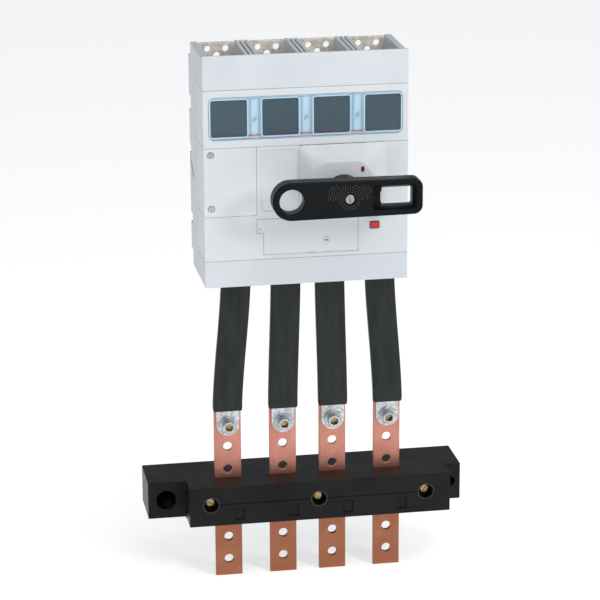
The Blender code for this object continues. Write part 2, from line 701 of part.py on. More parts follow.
def make_drive_pinion():
    pitch = 2 * math.pi / PINION_TEETH
    middles = [math.pi + pitch * (i + 0.5) for i in range(PINION_TEETH)]
    polar = gear_teeth(PINION_TEETH, PINION_RADIUS, middles)
    outline = [(HANDLE_X + r * math.cos(t), HANDLE_Z + r * math.sin(t)) for t, r in polar]
    bore = rod("Y", (HANDLE_X, HANDLE_Z), SHAFT_RADIUS + 0.3, GEAR_FRONT - 1, GEAR_REAR + 1)
    body = combined(prism("Y", outline, GEAR_FRONT, GEAR_REAR), cut=[bore])
    return named(body, "drive_pinion", STEEL, (HANDLE_X, 0, HANDLE_Z))


def make_drive_sector():
    """Toothed sector on the crossbar: angle 0 points forward, and it counts downwards."""
    pitch = 2 * math.pi / SECTOR_TEETH
    middles = [pitch * (i + 0.5) for i in range(-2, 6)]
    polar = gear_teeth(SECTOR_TEETH, SECTOR_RADIUS, middles)
    hub_radius = 13.0
    start, end = polar[-1][0] + 0.15, polar[0][0] - 0.15 + 2 * math.pi
    polar += [(start + (end - start) * i / 14, hub_radius) for i in range(15)]
    outline = [(ROTOR_Y - r * math.cos(t), ROTOR_Z - r * math.sin(t)) for t, r in polar]
    x = (RACK_LEFT + GAP, RACK_LEFT + 7.7)
    bore = rod("X", (ROTOR_Y, ROTOR_Z), BAR_RADIUS + 0.4, x[0] - 1, x[1] + 1)
    body = combined(prism("X", outline, x[0], x[1]), cut=[bore])
    return named(body, "drive_sector", STEEL, (0, ROTOR_Y, ROTOR_Z))


def rack_teeth(line, direction, middle, count, back):
    """Section of a toothed bar: line is its pitch line, and back its other edge."""
    pitch = math.pi * MODULE
    slope = math.tan(PRESSURE_ANGLE)
    half = pitch / 4 - TOOTH_THINNING / 2
    root, tip = line - direction * DEDENDUM, line + direction * ADDENDUM
    points = []
    for i in range(count):
        z = middle + pitch * (1 - i)
        points.append((root, z + half + DEDENDUM * slope))
        points.append((tip, z + half - ADDENDUM * slope))
        points.append((tip, z - half + ADDENDUM * slope))
        points.append((root, z - half - DEDENDUM * slope))
    points.append((back, points[-1][1]))
    points.append((back, points[0][1]))
    return points


def make_drive_rack():
    body = box((RACK_LEFT, RACK_LINE_X - DEDENDUM), (-86, RACK_LINE_Y - DEDENDUM), (-52, 5))
    side = rack_teeth(RACK_LINE_X, 1, HANDLE_Z, 7, RACK_LINE_X - 8)
    rear = rack_teeth(RACK_LINE_Y, 1, ROTOR_Z, 7, RACK_LINE_Y - 6)
    add = [
        prism("Y", side, GEAR_FRONT, GEAR_REAR),
        prism("X", rear, RACK_LEFT + 0.1, RACK_LEFT + 8),
    ]
    return named(combined(body, add=add), "drive_rack", STEEL, (RACK_LINE_X, RACK_LINE_Y, HANDLE_Z))


def make_mechanism_frame():
    front, rear = -92.0, -88.0
    body = box((-6, 76), (front, rear), (-64, 2))
    add = []
    for x in ((-6, 6), (64, 76)):
        add.append(box(x, (front, SPLIT - GAP), (-64, -52)))
        add.append(box(x, (front, SPLIT - GAP), (5, 15)))
        add.append(box(x, (front, rear), (0, 7)))
    shaft_hole = rod("Y", (HANDLE_X, HANDLE_Z), SHAFT_RADIUS + 0.5, front - 1, rear + 1)
    return named(combined(body, add=add, cut=[shaft_hole]), "mechanism_frame", SHEET_STEEL)


def make_crossbar():
    """Insulating bar through all poles, with a collar on each side of every blade."""
    end = HALF_WIDTH - 6
    profile = [(BAR_RADIUS, -end)]
    for pole in range(POLES):
        for low, high in ((-8, -JAW_INNER), (JAW_INNER, 8)):
            start, stop = pole_x(pole) + low, pole_x(pole) + high
            profile += [(BAR_RADIUS, start), (10, start), (10, stop), (BAR_RADIUS, stop)]
    profile.append((BAR_RADIUS, end))
    body = turned("X", (ROTOR_Y, ROTOR_Z), profile, 12)
    return named(body, "crossbar", BROWN_INSULATION, (0, ROTOR_Y, ROTOR_Z))


# -------------------------------------------------------------------- contacts


def make_knife_blade(pole):
    """Flat blade, drawn upright on its axis and then leant forward to the open position."""
    half = BLADE_WIDTH / 2
    tip = BLADE_REACH
    outline = arc(0, -BLADE_TAIL + half, half, 180, 360, 8)
    outline += [(half, tip - 14), (half - 5, tip - 3), (half - 8, tip)]
    outline += [(-half + 8, tip), (-half + 5, tip - 3), (-half, tip - 14)]
    turn_cos, turn_sin = math.cos(OPEN_ANGLE), math.sin(OPEN_ANGLE)
    leant = []
    for across, up in outline:
        y = ROTOR_Y + across * turn_cos - up * turn_sin
        z = ROTOR_Z + across * turn_sin + up * turn_cos
        leant.append((y, z))
    x = (pole_x(pole) - BLADE_THICKNESS / 2, pole_x(pole) + BLADE_THICKNESS / 2)
    bore = rod("X", (ROTOR_Y, ROTOR_Z), BAR_RADIUS + 0.4, x[0] - 1, x[1] + 1)
    body = combined(prism("X", leant, x[0], x[1]), cut=[bore])
    return named(body, f"knife_blade_{pole + 1}", TINNED, (0, ROTOR_Y, ROTOR_Z))


def jaw_leaves(pole, y, z):
    """The two leaves that the blade runs between."""
    leaves = []
    for side in (-1, 1):
        x = sorted((pole_x(pole) + side * JAW_INNER, pole_x(pole) + side * JAW_OUTER))
        leaves.append(box(x, y, z))
    return leaves


def make_upper_terminal(pole):
    middle = pole_x(pole)
    body = box((middle - 24, middle + 24), (-31, -25), (100, 157))
    add = [box((middle - 12, middle + 12), (-31, -25), (66, 101))]
    add += jaw_leaves(pole, (-66, -28), (70, 99))
    cut = [rod("Y", (middle + dx, z), 4.5, -32, -24, 14) for dx, z in ((-12.5, 148), (12.5, 148), (0, 139))]
    return named(combined(body, add=add, cut=cut), f"upper_terminal_{pole + 1}", TINNED)


def make_lower_terminal(pole):
    middle = pole_x(pole)
    body = box((middle - 16, middle + 16), (SPLIT, -72), (-157, -66))
    add = [box((middle - 8, middle + 8), (SPLIT, -72), (-67, -56))]
    add += jaw_leaves(pole, (-74, -35), (-60, -15.5))
    cut = [rod("Y", (lug_bolt_x(pole), -142), BOLT_HOLE_RADIUS, SPLIT - 1, -71)]
    return named(combined(body, add=add, cut=cut), f"lower_terminal_{pole + 1}", TINNED)


def make_arc_chute(pole):
    """Splitter plates between two cheeks, just outside the arc that the blade tip runs on."""
    inner, outer = BLADE_REACH + 4, BLADE_REACH + 15
    sector = []
    for radius, angles in ((inner, (8, 42)), (outer, (42, 8))):
        for t in range(5):
            angle = math.radians(angles[0] + (angles[1] - angles[0]) * t / 4)
            sector.append((ROTOR_Y - radius * math.sin(angle), ROTOR_Z + radius * math.cos(angle)))
    middle = pole_x(pole)
    cheeks = [
        prism("X", sector, middle - 20, middle - 17),
        prism("X", sector, middle + 17, middle + 20),
    ]
    plates = []
    for degrees in (11, 18, 25, 32, 39):
        angle = math.radians(degrees)
        along = Vector((-math.sin(angle), math.cos(angle)))
        across = Vector((math.cos(angle), math.sin(angle))) * 1.0
        low, high = along * (inner + 1), along * (outer - 1)
        corners = [low - across, low + across, high + across, high - across]
        outline = [(ROTOR_Y + c.x, ROTOR_Z + c.y) for c in corners]
        plates.append(prism("X", outline, middle - 18, middle + 18))
    body = combined(cheeks[0], add=[cheeks[1]] + plates)
    return named(body, f"arc_chute_{pole + 1}", SHEET_STEEL)


# -------------------------------------------------- flexible bars and busbars


def smooth_step(value):
    value = min(1.0, max(0.0, value))
    return value * value * (3 - 2 * value)


def flex_point(pole, z):
    """Centre of the flexible bar at a height, between the terminal and the busbar."""
    fall = min(1.0, max(0.0, (-170 - z) / (-170 + 345)))
    share = (smooth_step(fall) + fall) / 2
    x = pole_x(pole) + FLEX_OFFSETS[pole]
    top_y = SPLIT - GAP - LUG_THICKNESS / 2
    low_y = BUS_FRONT - GAP - LUG_THICKNESS / 2
    return x + (bus_x(pole) - x) * share, top_y + (low_y - top_y) * share


def bar_loft(pole, heights, half_width, half_thickness, corner):
    """A flat bar along the flexible route: half_thickness is a function of the height."""
    rings = []
    for z in heights:
        x, y = flex_point(pole, z)
        half = half_thickness(z)
        cut = min(corner, half * 0.6)
        ring = [(half_width, half - cut), (half_width - cut, half)]
        ring += [(-half_width + cut, half), (-half_width, half - cut)]
        ring += [(-half_width, -half + cut), (-half_width + cut, -half)]
        ring += [(half_width - cut, -half), (half_width, -half + cut)]
        rings.append([Vector((x + a, y + b, z)) for a, b in ring])
    return loft(rings)


def core_half_thickness(z):
    """Thin pressed lugs at both ends, and the full stack of foils between them."""
    middle = min(smooth_step((-160 - z) / 12), smooth_step((z + 356) / 12))
    return LUG_THICKNESS / 2 + 1.5 * middle


def route_heights(top, bottom, steps):
    return [top + (bottom - top) * i / steps for i in range(steps + 1)]


def make_flexible_bar(pole):
    heights = [-130] + route_heights(-160, -172, 2) + route_heights(-200, -320, 4)
    heights += route_heights(-344, -356, 2) + [FIRST_HOLE_Z]
    body = bar_loft(pole, heights, FLEX_HALF_WIDTH, core_half_thickness, 0.8)
    x, y = flex_point(pole, FIRST_HOLE_Z)
    half = LUG_THICKNESS / 2
    end = rod("Y", (x, FIRST_HOLE_Z), FLEX_HALF_WIDTH, y - half, y + half, 24)
    hole = rod("Y", (x, FIRST_HOLE_Z), BOLT_HOLE_RADIUS, y - 9, y + 9)
    top = rod("Y", (lug_bolt_x(pole), -142), BOLT_HOLE_RADIUS, SPLIT - 12, SPLIT + 2)
    body = combined(body, add=[end], cut=[hole, top])
    return named(body, f"flexible_bar_{pole + 1}", TINNED)


def make_insulating_sleeve(pole):
    heights = route_heights(SLEEVE_TOP, SLEEVE_BOTTOM, 7)
    wall = 2.2
    outer = bar_loft(pole, heights, SLEEVE_HALF_WIDTH, lambda z: 4 + wall + GAP, 3.5)
    through = [SLEEVE_TOP + 2] + heights[1:-1] + [SLEEVE_BOTTOM - 2]
    inner = bar_loft(pole, through, SLEEVE_HALF_WIDTH - wall, lambda z: 4 + GAP, 0.4)
    return named(combined(outer, cut=[inner]), f"insulating_sleeve_{pole + 1}", SLEEVE_BLACK)


def make_busbar(pole):
    x = bus_x(pole)
    y = (BUS_FRONT, BUS_FRONT + BUS_THICKNESS)
    body = box((x - BUS_HALF_WIDTH, x + BUS_HALF_WIDTH), y, (BUS_BOTTOM, BUS_TOP))
    cut = []
    for i in range(BUS_HOLES):
        centre = (x, FIRST_HOLE_Z - HOLE_PITCH * i)
        cut.append(rod("Y", centre, BOLT_HOLE_RADIUS, y[0] - 1, y[1] + 1, 14))
    return named(combined(body, cut=cut), f"busbar_{pole + 1}", COPPER)


def make_joint_bolt(pole):
    """Hexagon-socket bolt with its captive washer."""
    x = bus_x(pole)
    seat = BUS_FRONT - GAP - LUG_THICKNESS - GAP
    head = seat - 2.5 - 11.5
    profile = [(8.2, head), (9, head + 0.8), (9, seat - 2.5), (12, seat - 2.5)]
    profile += [(12, seat), (5.9, seat), (5.9, BUS_FRONT + BUS_THICKNESS + 16)]
    socket = rod("Y", (x, FIRST_HOLE_Z), 5 / math.cos(math.pi / 6), head - 1, head + 7, 6)
    body = combined(turned("Y", (x, FIRST_HOLE_Z), profile), cut=[socket])
    return named(body, f"joint_bolt_{pole + 1}", STEEL)


# --------------------------------------------------------------------- support


def clamp_screw_x(number):
    return CLAMP_SCREW_X + (number - 1) * CLAMP_SCREW_PITCH


def make_support_rear():
    """Rear block, which stands on the panel and has a fixing ear at each end."""
    seat = BUS_FRONT + BUS_THICKNESS + GAP
    body = box((BLOCK_LEFT, BLOCK_RIGHT), (-EAR_DEPTH, 0), (BLOCK_BOTTOM, BLOCK_TOP))
    add = [box((CLAMP_LEFT, CLAMP_RIGHT), (seat, -EAR_DEPTH + 5), (BLOCK_BOTTOM, BLOCK_TOP))]
    height = (BLOCK_TOP + BLOCK_BOTTOM) / 2
    cut = []
    for x, radius in ((LEFT_EAR_HOLE_X, 14), (RIGHT_EAR_HOLE_X, 8)):
        cut.append(rod("Y", (x, height), radius, -EAR_DEPTH - 1, -20, 24))
        cut.append(rod("Y", (x, height), 5.5, -EAR_DEPTH - 1, 1))
    for number in range(3):
        cut.append(rod("Y", (clamp_screw_x(number), CLAMP_SCREW_Z), 4.5, seat - 1, -52, 12))
    return named(combined(body, add=add, cut=cut), "support_rear", BLACK)


def make_support_front():
    """Clamp bar with a groove for each busbar."""
    rear = BUS_FRONT + BUS_THICKNESS
    body = box((CLAMP_LEFT, CLAMP_RIGHT), (CLAMP_FRONT, rear), (CLAMP_BOTTOM, CLAMP_TOP))
    pockets_centre = (CLAMP_LEFT + CLAMP_RIGHT) / 2
    face = CLAMP_FRONT - 1
    cut = []
    for pole in range(POLES):
        middle = bus_x(pole)
        half = BUS_HALF_WIDTH + GAP
        groove = (BUS_FRONT - GAP, rear + 1)
        cut.append(box((middle - half, middle + half), groove, (CLAMP_BOTTOM - 1, CLAMP_TOP + 1)))
        pocket = pockets_centre + (pole - (POLES - 1) / 2) * CLAMP_POCKET_PITCH
        cut.append(box((pocket - 7, pocket + 7), (face, CLAMP_FRONT + 3), (-505, -487)))
    for number in range(3):
        centre = (clamp_screw_x(number), CLAMP_SCREW_Z)
        cut.append(rod("Y", centre, 10.5, face, CLAMP_FRONT + 16, 24))
        cut.append(rod("Y", centre, 4.5, face, rear + 1, 12))
    line = (CLAMP_SCREW_Z - 0.4, CLAMP_SCREW_Z + 0.4)
    cut.append(box((clamp_screw_x(0), clamp_screw_x(2)), (face, CLAMP_FRONT + 0.8), line))
    return named(combined(body, cut=cut), "support_front", BLACK)


def make_clamp_screw(number):
    x = clamp_screw_x(number)
    seat = CLAMP_FRONT + 16 - GAP
    profile = [(5.6, seat - 4), (6.8, seat - 2.6), (6.8, seat), (4, seat), (4, -56)]
    slot = box((x - 9, x + 9), (seat - 6, seat - 2), (CLAMP_SCREW_Z - 0.8, CLAMP_SCREW_Z + 0.8))
    body = combined(turned("Y", (x, CLAMP_SCREW_Z), profile, 16), cut=[slot])
    return named(body, f"clamp_screw_{number + 1}", BRASS)


# -------------------------------------------------------------------- assembly


def clear_scene():
    for obj in list(bpy.data.objects):
        bpy.data.objects.remove(obj)


def make_fixed_parts():
    make_base_case()
    make_upper_terminal_cover()
    make_window_cover()
    make_window_lens()
    make_front_cover()
    make_mechanism_cover()
    make_left_side_cover()
    make_lower_terminal_cover()
    make_mechanism_frame()
    make_cover_screw(1, 25)
    make_cover_screw(2, -49)
    for pole in range(POLES):
        make_upper_terminal(pole)
        make_lower_terminal(pole)
        make_arc_chute(pole)
        make_flexible_bar(pole)
        make_insulating_sleeve(pole)
        make_busbar(pole)
        make_joint_bolt(pole)
    make_support_rear()
    make_support_front()
    for number in range(3):
        make_clamp_screw(number)


def make_moving_parts():
    handle_pieces = [make_handle_lever(), make_handle_screw(), make_handle_shaft()]
    handle_pieces += [make_drive_pinion(), make_position_flag(), make_padlock_slide()]
    carry(joint_centre("handle_axis", (HANDLE_X, 0, HANDLE_Z)), handle_pieces)
    rotor_pieces = [make_crossbar(), make_drive_sector()]
    rotor_pieces += [make_knife_blade(pole) for pole in range(POLES)]
    carry(joint_centre("blade_axis", (0, ROTOR_Y, ROTOR_Z)), rotor_pieces)
    door_pieces = [make_accessory_door(), make_door_lock_screw()]
    carry(joint_centre("door_axis", (0, DOOR_HINGE_Y, DOOR_HINGE_Z)), door_pieces)
    make_drive_rack()
    make_trip_button()


clear_scene()
make_fixed_parts()
make_moving_parts()
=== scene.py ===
"""Looks of the four-pole switch with visible knife blades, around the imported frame.

Shapes are drawn in millimetres in the frame's own axes: X to the right, Y into the
mounting panel, Z up. Places come from the frame's nodes wherever a piece stands for one.
"""

from math import cos, hypot, pi, radians, sin

import bmesh
import bpy
from mathutils import Matrix, Vector, noise


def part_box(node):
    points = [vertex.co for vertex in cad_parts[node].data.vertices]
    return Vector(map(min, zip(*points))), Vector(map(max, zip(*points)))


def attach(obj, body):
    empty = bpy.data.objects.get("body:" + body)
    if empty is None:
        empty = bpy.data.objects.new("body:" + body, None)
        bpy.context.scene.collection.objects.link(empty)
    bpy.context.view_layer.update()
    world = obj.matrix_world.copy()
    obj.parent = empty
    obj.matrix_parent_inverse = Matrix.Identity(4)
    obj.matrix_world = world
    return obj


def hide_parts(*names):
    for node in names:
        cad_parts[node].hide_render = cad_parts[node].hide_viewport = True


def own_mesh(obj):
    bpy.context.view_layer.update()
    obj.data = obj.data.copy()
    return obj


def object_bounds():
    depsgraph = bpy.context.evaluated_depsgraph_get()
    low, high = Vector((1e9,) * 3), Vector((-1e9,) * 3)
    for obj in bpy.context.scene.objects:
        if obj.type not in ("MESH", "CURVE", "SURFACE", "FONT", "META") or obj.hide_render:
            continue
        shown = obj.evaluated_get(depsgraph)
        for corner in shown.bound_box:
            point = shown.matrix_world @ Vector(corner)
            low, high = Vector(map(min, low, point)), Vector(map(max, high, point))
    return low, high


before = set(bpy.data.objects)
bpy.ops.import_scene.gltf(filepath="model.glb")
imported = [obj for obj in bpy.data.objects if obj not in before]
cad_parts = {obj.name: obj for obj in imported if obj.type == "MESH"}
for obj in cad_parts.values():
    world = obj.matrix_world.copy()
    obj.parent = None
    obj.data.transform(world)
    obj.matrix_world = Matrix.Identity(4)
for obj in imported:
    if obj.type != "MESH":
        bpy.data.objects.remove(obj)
cad_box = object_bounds()

MM = 0.001
FINE = 48  # sides of a round shape

# Sizes of the CAD that its nodes' boxes don't show
POLES = 4
FRONT = -140.0
SPLIT = -78.0
PLATEAU_Y = -165.0
PLATEAU_RADIUS = 47.0
PLATEAU_HALF_HEIGHT = 40.0
SHAFT_RADIUS = 7.0
ROTOR = (-50.0, -5.0)
BAR_RADIUS = 8.0
DOOR_LOCK = (27.0, -100.0)
TERMINAL_Y = (-31.0, -25.0)
TERMINAL_HOLES = ((-12.5, 148), (12.5, 148), (0, 139))
JAW = (3.3, 6.3)
BUS_HOLES = 7
HOLE_PITCH = 34.0
BOLT_HOLE_RADIUS = 6.5
LUG_BOLT_Z = -142.0
LUG_THICKNESS = 5.0
GAP = 0.3
FLEX_OFFSETS = (15.0, 15.0, 7.0, 8.0)
FLEX_HALF_WIDTH = 16.0
BEND_TOP = -170.0
BEND_BOTTOM = -345.0

# Panes behind the window lens
PANE_HALF = 25.0
PANE_Z = (49.0, 100.0)


# -------------------- places in the frame


def span(node):
    """The node's box in millimetres: (low, high) for X, Y and Z."""
    low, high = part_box(node)
    return [(low[i] / MM, high[i] / MM) for i in range(3)]


def middle(limits):
    return (limits[0] + limits[1]) / 2


def around(centre, half):
    return (centre - half, centre + half)


def within(limits, margin):
    return (limits[0] + margin, limits[1] - margin)


def node_centre(node):
    return [middle(limits) for limits in span(node)]


HANDLE_X, _, HANDLE_Z = node_centre("handle_screw")
HANDLE = (HANDLE_X, HANDLE_Z)
SCREW_Z = [node_centre(f"cover_screw_{i}")[2] for i in (1, 2)]
POLE_X = [node_centre(f"upper_terminal_{i + 1}")[0] for i in range(POLES)]
BUS_X = [node_centre(f"busbar_{i + 1}")[0] for i in range(POLES)]
FIRST_HOLE_Z = node_centre("joint_bolt_1")[2]
HALF_WIDTH = span("base_case")[0][1]
FLAG = (HANDLE_X + 27.5, HANDLE_Z + 27.0)


# -------------------- shape makers


def linked(name, data):
    obj = bpy.data.objects.new(name, data)
    bpy.context.scene.collection.objects.link(obj)
    return obj


def as_object(bm, name):
    mesh = bpy.data.meshes.new(name)
    bm.to_mesh(mesh)
    bm.free()
    return linked(name, mesh)


def new_object(bm):
    """An object from a shape in millimetres."""
    bmesh.ops.recalc_face_normals(bm, faces=bm.faces)
    bm.transform(Matrix.Scale(MM, 4))
    return as_object(bm, "shape")


def loft(rings, caps=True):
    """A surface through rings of points, closed at both ends unless caps is False."""
    bm = bmesh.new()
    rows = [[bm.verts.new(point) for point in ring] for ring in rings]
    pairs = list(zip(rows, rows[1:]))
    if not caps:
        pairs.append((rows[-1], rows[0]))
    for lower, upper in pairs:
        for i in range(len(lower)):
            j = (i + 1) % len(lower)
            bm.faces.new((lower[i], lower[j], upper[j], upper[i]))
    if caps:
        bm.faces.new(rows[0])
        bm.faces.new(rows[-1])
    return new_object(bm)


def placed(axis, a, b, along):
    return Vector({"X": (along, a, b), "Y": (a, along, b), "Z": (a, b, along)}[axis])


def prism(outline, low, high, axis="Y"):
    return loft([[placed(axis, a, b, at) for a, b in outline] for at in (low, high)])


def box(x, y, z):
    outline = [(x[0], y[0]), (x[1], y[0]), (x[1], y[1]), (x[0], y[1])]
    return prism(outline, *z, "Z")


def arc(a, b, radius, start, end, steps):
    angles = [radians(start + (end - start) * i / steps) for i in range(steps + 1)]
    return [(a + radius * cos(t), b + radius * sin(t)) for t in angles]


def circle(centre, radius, segments=FINE):
    return arc(centre[0], centre[1], radius, 0, 360, segments)[:-1]


def rod(centre, radius, low, high):
    return prism(circle(centre, radius), low, high)


def turned(centre, profile, segments=FINE, axis="Y"):
    """A turned solid: profile is (radius, place along the axis) from end to end."""
    rings = []
    for radius, along in profile:
        rings.append([placed(axis, a, b, along) for a, b in circle(centre, radius, segments)])
    return loft(rings)


def rounded(a, b, radius, steps=8):
    low_a, high_a = a[0] + radius, a[1] - radius
    low_b, high_b = b[0] + radius, b[1] - radius
    corners = ((high_a, high_b), (low_a, high_b), (low_a, low_b), (high_a, low_b))
    points = []
    for quarter, corner in enumerate(corners):
        points += arc(*corner, radius, 90 * quarter, 90 * quarter + 90, steps)
    return points


def slab(x, z, corner, front, rear):
    """A plate along Y with round corners."""
    return prism(rounded(x, z, corner), front, rear)


def inset(outline, distance):
    """The outline moved inwards; it runs anticlockwise and its curves stay wider."""
    moved = []
    count = len(outline)
    for i in range(count):
        before, here, after = outline[i - 1], outline[i], outline[(i + 1) % count]
        first = Vector((here[0] - before[0], here[1] - before[1]))
        second = Vector((after[0] - here[0], after[1] - here[1]))
        if first.length < 1e-6 or second.length < 1e-6:
            first = second = first if first.length > second.length else second
        first.normalize()
        second.normalize()
        normal = Vector((-first.y - second.y, first.x + second.x))
        normal.normalize()
        lean = max(0.35, normal.dot(Vector((-first.y, first.x))))
        moved.append((here[0] + normal.x * distance / lean, here[1] + normal.y * distance / lean))
    return moved


def plate(outline, low, high, low_edge, high_edge, steps=4, axis="Y"):
    """An extruded outline with round edges of the given radii at its two ends."""
    rings = []
    for i in range(steps + 1):
        t = pi / 2 * i / steps
        rings.append((low_edge * (1 - sin(t)), low + low_edge * (1 - cos(t))))
    for i in range(steps + 1):
        t = pi / 2 * (1 - i / steps)
        rings.append((high_edge * (1 - sin(t)), high - high_edge * (1 - cos(t))))
    points = []
    for distance, along in rings:
        points.append([placed(axis, a, b, along) for a, b in inset(outline, distance)])
    return loft(points)


def chamfered(radius, low, high, edge):
    """Profile of a disc whose two rims are broken."""
    return [(radius - edge, low), (radius, low + edge), (radius, high - edge), (radius - edge, high)]


def flared(centre, radius, low, high, flare):
    """A cutter for a hole whose two edges are broken by a small chamfer."""
    profile = [(radius + flare + 1, low - 1), (radius, low + flare)]
    profile += [(radius, high - flare), (radius + flare + 1, high + 1)]
    return turned(centre, profile)


def slot_at(centre, length, y, width, angle):
    """A screwdriver slot across a centre, turned in its plane by an angle in degrees."""
    slot = box(around(0, length / 2), y, around(0, width / 2))
    slot.data.transform(Matrix.Rotation(radians(angle), 4, "Y"))
    slot.data.transform(Matrix.Translation((centre[0] * MM, 0, centre[1] * MM)))
    return slot


def combined(body, add=(), cut=()):
    """The body with some shapes added and then others cut away."""
    for operation, shapes in (("UNION", add), ("DIFFERENCE", cut)):
        for shape in shapes:
            modifier = body.modifiers.new(operation.lower(), "BOOLEAN")
            modifier.operation = operation
            modifier.solver = "EXACT"
            modifier.object = shape
    bpy.context.view_layer.update()
    graph = bpy.context.evaluated_depsgraph_get()
    mesh = bpy.data.meshes.new_from_object(body.evaluated_get(graph))
    body.modifiers.clear()
    body.data = mesh
    for shape in list(add) + list(cut):
        bpy.data.objects.remove(shape)
    return body


def joined(shapes):
    """Separate closed shapes as one object."""
    bm = bmesh.new()
    for shape in shapes:
        bm.from_mesh(shape.data)
        bpy.data.objects.remove(shape)
    return as_object(bm, "joined")


def soften(obj, edge, segments=2, angle=30, shortest=1.2):
    """Rounds the sharp edges of a mesh; edges shorter than shortest stay as they are."""
    bm = bmesh.new()
    bm.from_mesh(obj.data)
    bmesh.ops.remove_doubles(bm, verts=bm.verts, dist=2e-6)
    flat = radians(0.4)
    bmesh.ops.dissolve_limit(bm, angle_limit=flat, verts=bm.verts, edges=bm.edges, delimit=set())
    sharp = []
    for line in bm.edges:
        if len(line.link_faces) == 2 and line.calc_length() > shortest * MM:
            if line.calc_face_angle(0) > radians(angle):
                sharp.append(line)
    round_edges = {"affect": "EDGES", "profile": 0.5, "clamp_overlap": False, "miter_outer": "ARC"}
    bmesh.ops.bevel(bm, geom=sharp, offset=edge * MM, segments=segments, **round_edges)
    bmesh.ops.recalc_face_normals(bm, faces=bm.faces)
    bm.to_mesh(obj.data)
    bm.free()
    return obj


def copy_of(node):
    """A new object with the shape of a CAD node."""
    obj = linked("copy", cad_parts[node].data.copy())
    bm = bmesh.new()
    bm.from_mesh(obj.data)
    bmesh.ops.remove_doubles(bm, verts=bm.verts, dist=2e-6)
    bm.to_mesh(obj.data)
    bm.free()
    if "custom_normal" in obj.data.attributes:
        obj.data.attributes.remove(obj.data.attributes["custom_normal"])
    return obj


def piece(obj, name, look, nodes=(), body="housing", smooth=32, weighted=True):
    """Names a finished shape, gives it its finish and its body, and hides the CAD nodes it stands for."""
    obj.name = name
    obj.data.name = name
    obj.data.materials.clear()
    obj.data.materials.append(LOOKS[look][0])
    obj.data.shade_smooth()
    obj.data.set_sharp_from_angle(angle=radians(smooth))
    if weighted:
        modifier = obj.modifiers.new("even shading", "WEIGHTED_NORMAL")
        modifier.keep_sharp = True
    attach(obj, body)
    if nodes:
        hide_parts(*nodes)
    return obj


def second_finish(obj, look, test):
    """Faces whose middle, in millimetres, passes the test take another finish."""
    obj.data.materials.append(LOOKS[look][0])
    for face in obj.data.polygons:
        if test(face.center / MM):
            face.material_index = 1


def distance_from(centre, point):
    """How far a point is from an axis along Y."""
    return hypot(point.x - centre[0], point.z - centre[1])


# -------------------- materials


def add_node(tree, kind, inputs=None, **settings):
    node = tree.nodes.new("ShaderNode" + kind)
    for key, value in settings.items():
        setattr(node, key, value)
    for key, value in (inputs or {}).items():
        if isinstance(value, bpy.types.NodeSocket):
            tree.links.new(value, node.inputs[key])
        else:
            node.inputs[key].default_value = value
    return node


def where(tree, stretch=(1, 1, 1)):
    """The piece's own coordinates in metres, stretched along its axes."""
    inputs = {"Vector": add_node(tree, "TexCoord").outputs["Object"], "Scale": stretch}
    return add_node(tree, "Mapping", inputs).outputs["Vector"]


def noise_of(tree, scale, detail=3.0, stretch=(1, 1, 1), rough=0.55):
    inputs = {"Vector": where(tree, stretch), "Scale": scale, "Detail": detail, "Roughness": rough}
    return add_node(tree, "TexNoise", inputs).outputs["Fac"]


def cells_of(tree, scale, stretch=(1, 1, 1)):
    inputs = {"Vector": where(tree, stretch), "Scale": scale}
    return add_node(tree, "TexVoronoi", inputs)


def ramp(tree, value, dark, light, start=0.3, stop=0.7):
    node = add_node(tree, "ValToRGB", {"Fac": value})
    first, last = node.color_ramp.elements
    first.position, last.position = start, stop
    first.color, last.color = (*dark, 1), (*light, 1)
    return node.outputs["Color"]


def spread(tree, value, low, high, start=0.3, stop=0.7):
    inputs = {"Value": value, "From Min": start, "From Max": stop, "To Min": low, "To Max": high}
    return add_node(tree, "MapRange", inputs).outputs["Result"]


def mixed(tree, share, first, second):
    """Mix of two colours, of which the second may be plain red, green and blue."""
    if isinstance(second, tuple):
        second = (*second, 1)
    inputs = {0: share, 6: first, 7: second}
    return add_node(tree, "Mix", inputs, data_type="RGBA").outputs[2]


def relief(tree, layers):
    """Bump from several (height, strength, distance) layers, one on top of another."""
    below = {}
    for height, strength, distance in layers:
        inputs = {"Height": height, "Strength": strength, "Distance": distance, **below}
        below["Normal"] = add_node(tree, "Bump", inputs).outputs["Normal"]
    return below["Normal"]


def start_material(name, metallic=0.0, **sockets):
    material = bpy.data.materials.new(name)
    material.use_nodes = True
    tree = material.node_tree
    shader = tree.nodes["Principled BSDF"]
    shader.inputs["Metallic"].default_value = metallic
    for key, value in sockets.items():
        shader.inputs[key.replace("_", " ")].default_value = value
    return material, tree


def finish_material(material, colour, roughness, normal):
    tree = material.node_tree
    shader = tree.nodes["Principled BSDF"]
    tree.links.new(colour, shader.inputs["Base Color"])
    tree.links.new(roughness, shader.inputs["Roughness"])
    tree.links.new(normal, shader.inputs["Normal"])
    return material


def moulded(name, dark, light, roughness, grain=0.12, specular=0.5):
    """Injection-moulded plastic: cloudy flow marks, a fine eroded grain and faint handling marks."""
    material, tree = start_material(name, Specular_IOR_Level=specular)
    clouds = noise_of(tree, 16, 4)
    grains = noise_of(tree, 2600, 2)
    marks = noise_of(tree, 60, 6, (1, 1, 5), 0.7)
    colour = ramp(tree, clouds, dark, light, 0.35, 0.65)
    gloss = spread(tree, marks, roughness + 0.07, roughness - 0.05, 0.35, 0.65)
    waves = noise_of(tree, 30, 1)
    normal = relief(tree, [(waves, 0.05, 0.002), (grains, grain, 0.0002)])
    return finish_material(material, colour, gloss, normal)


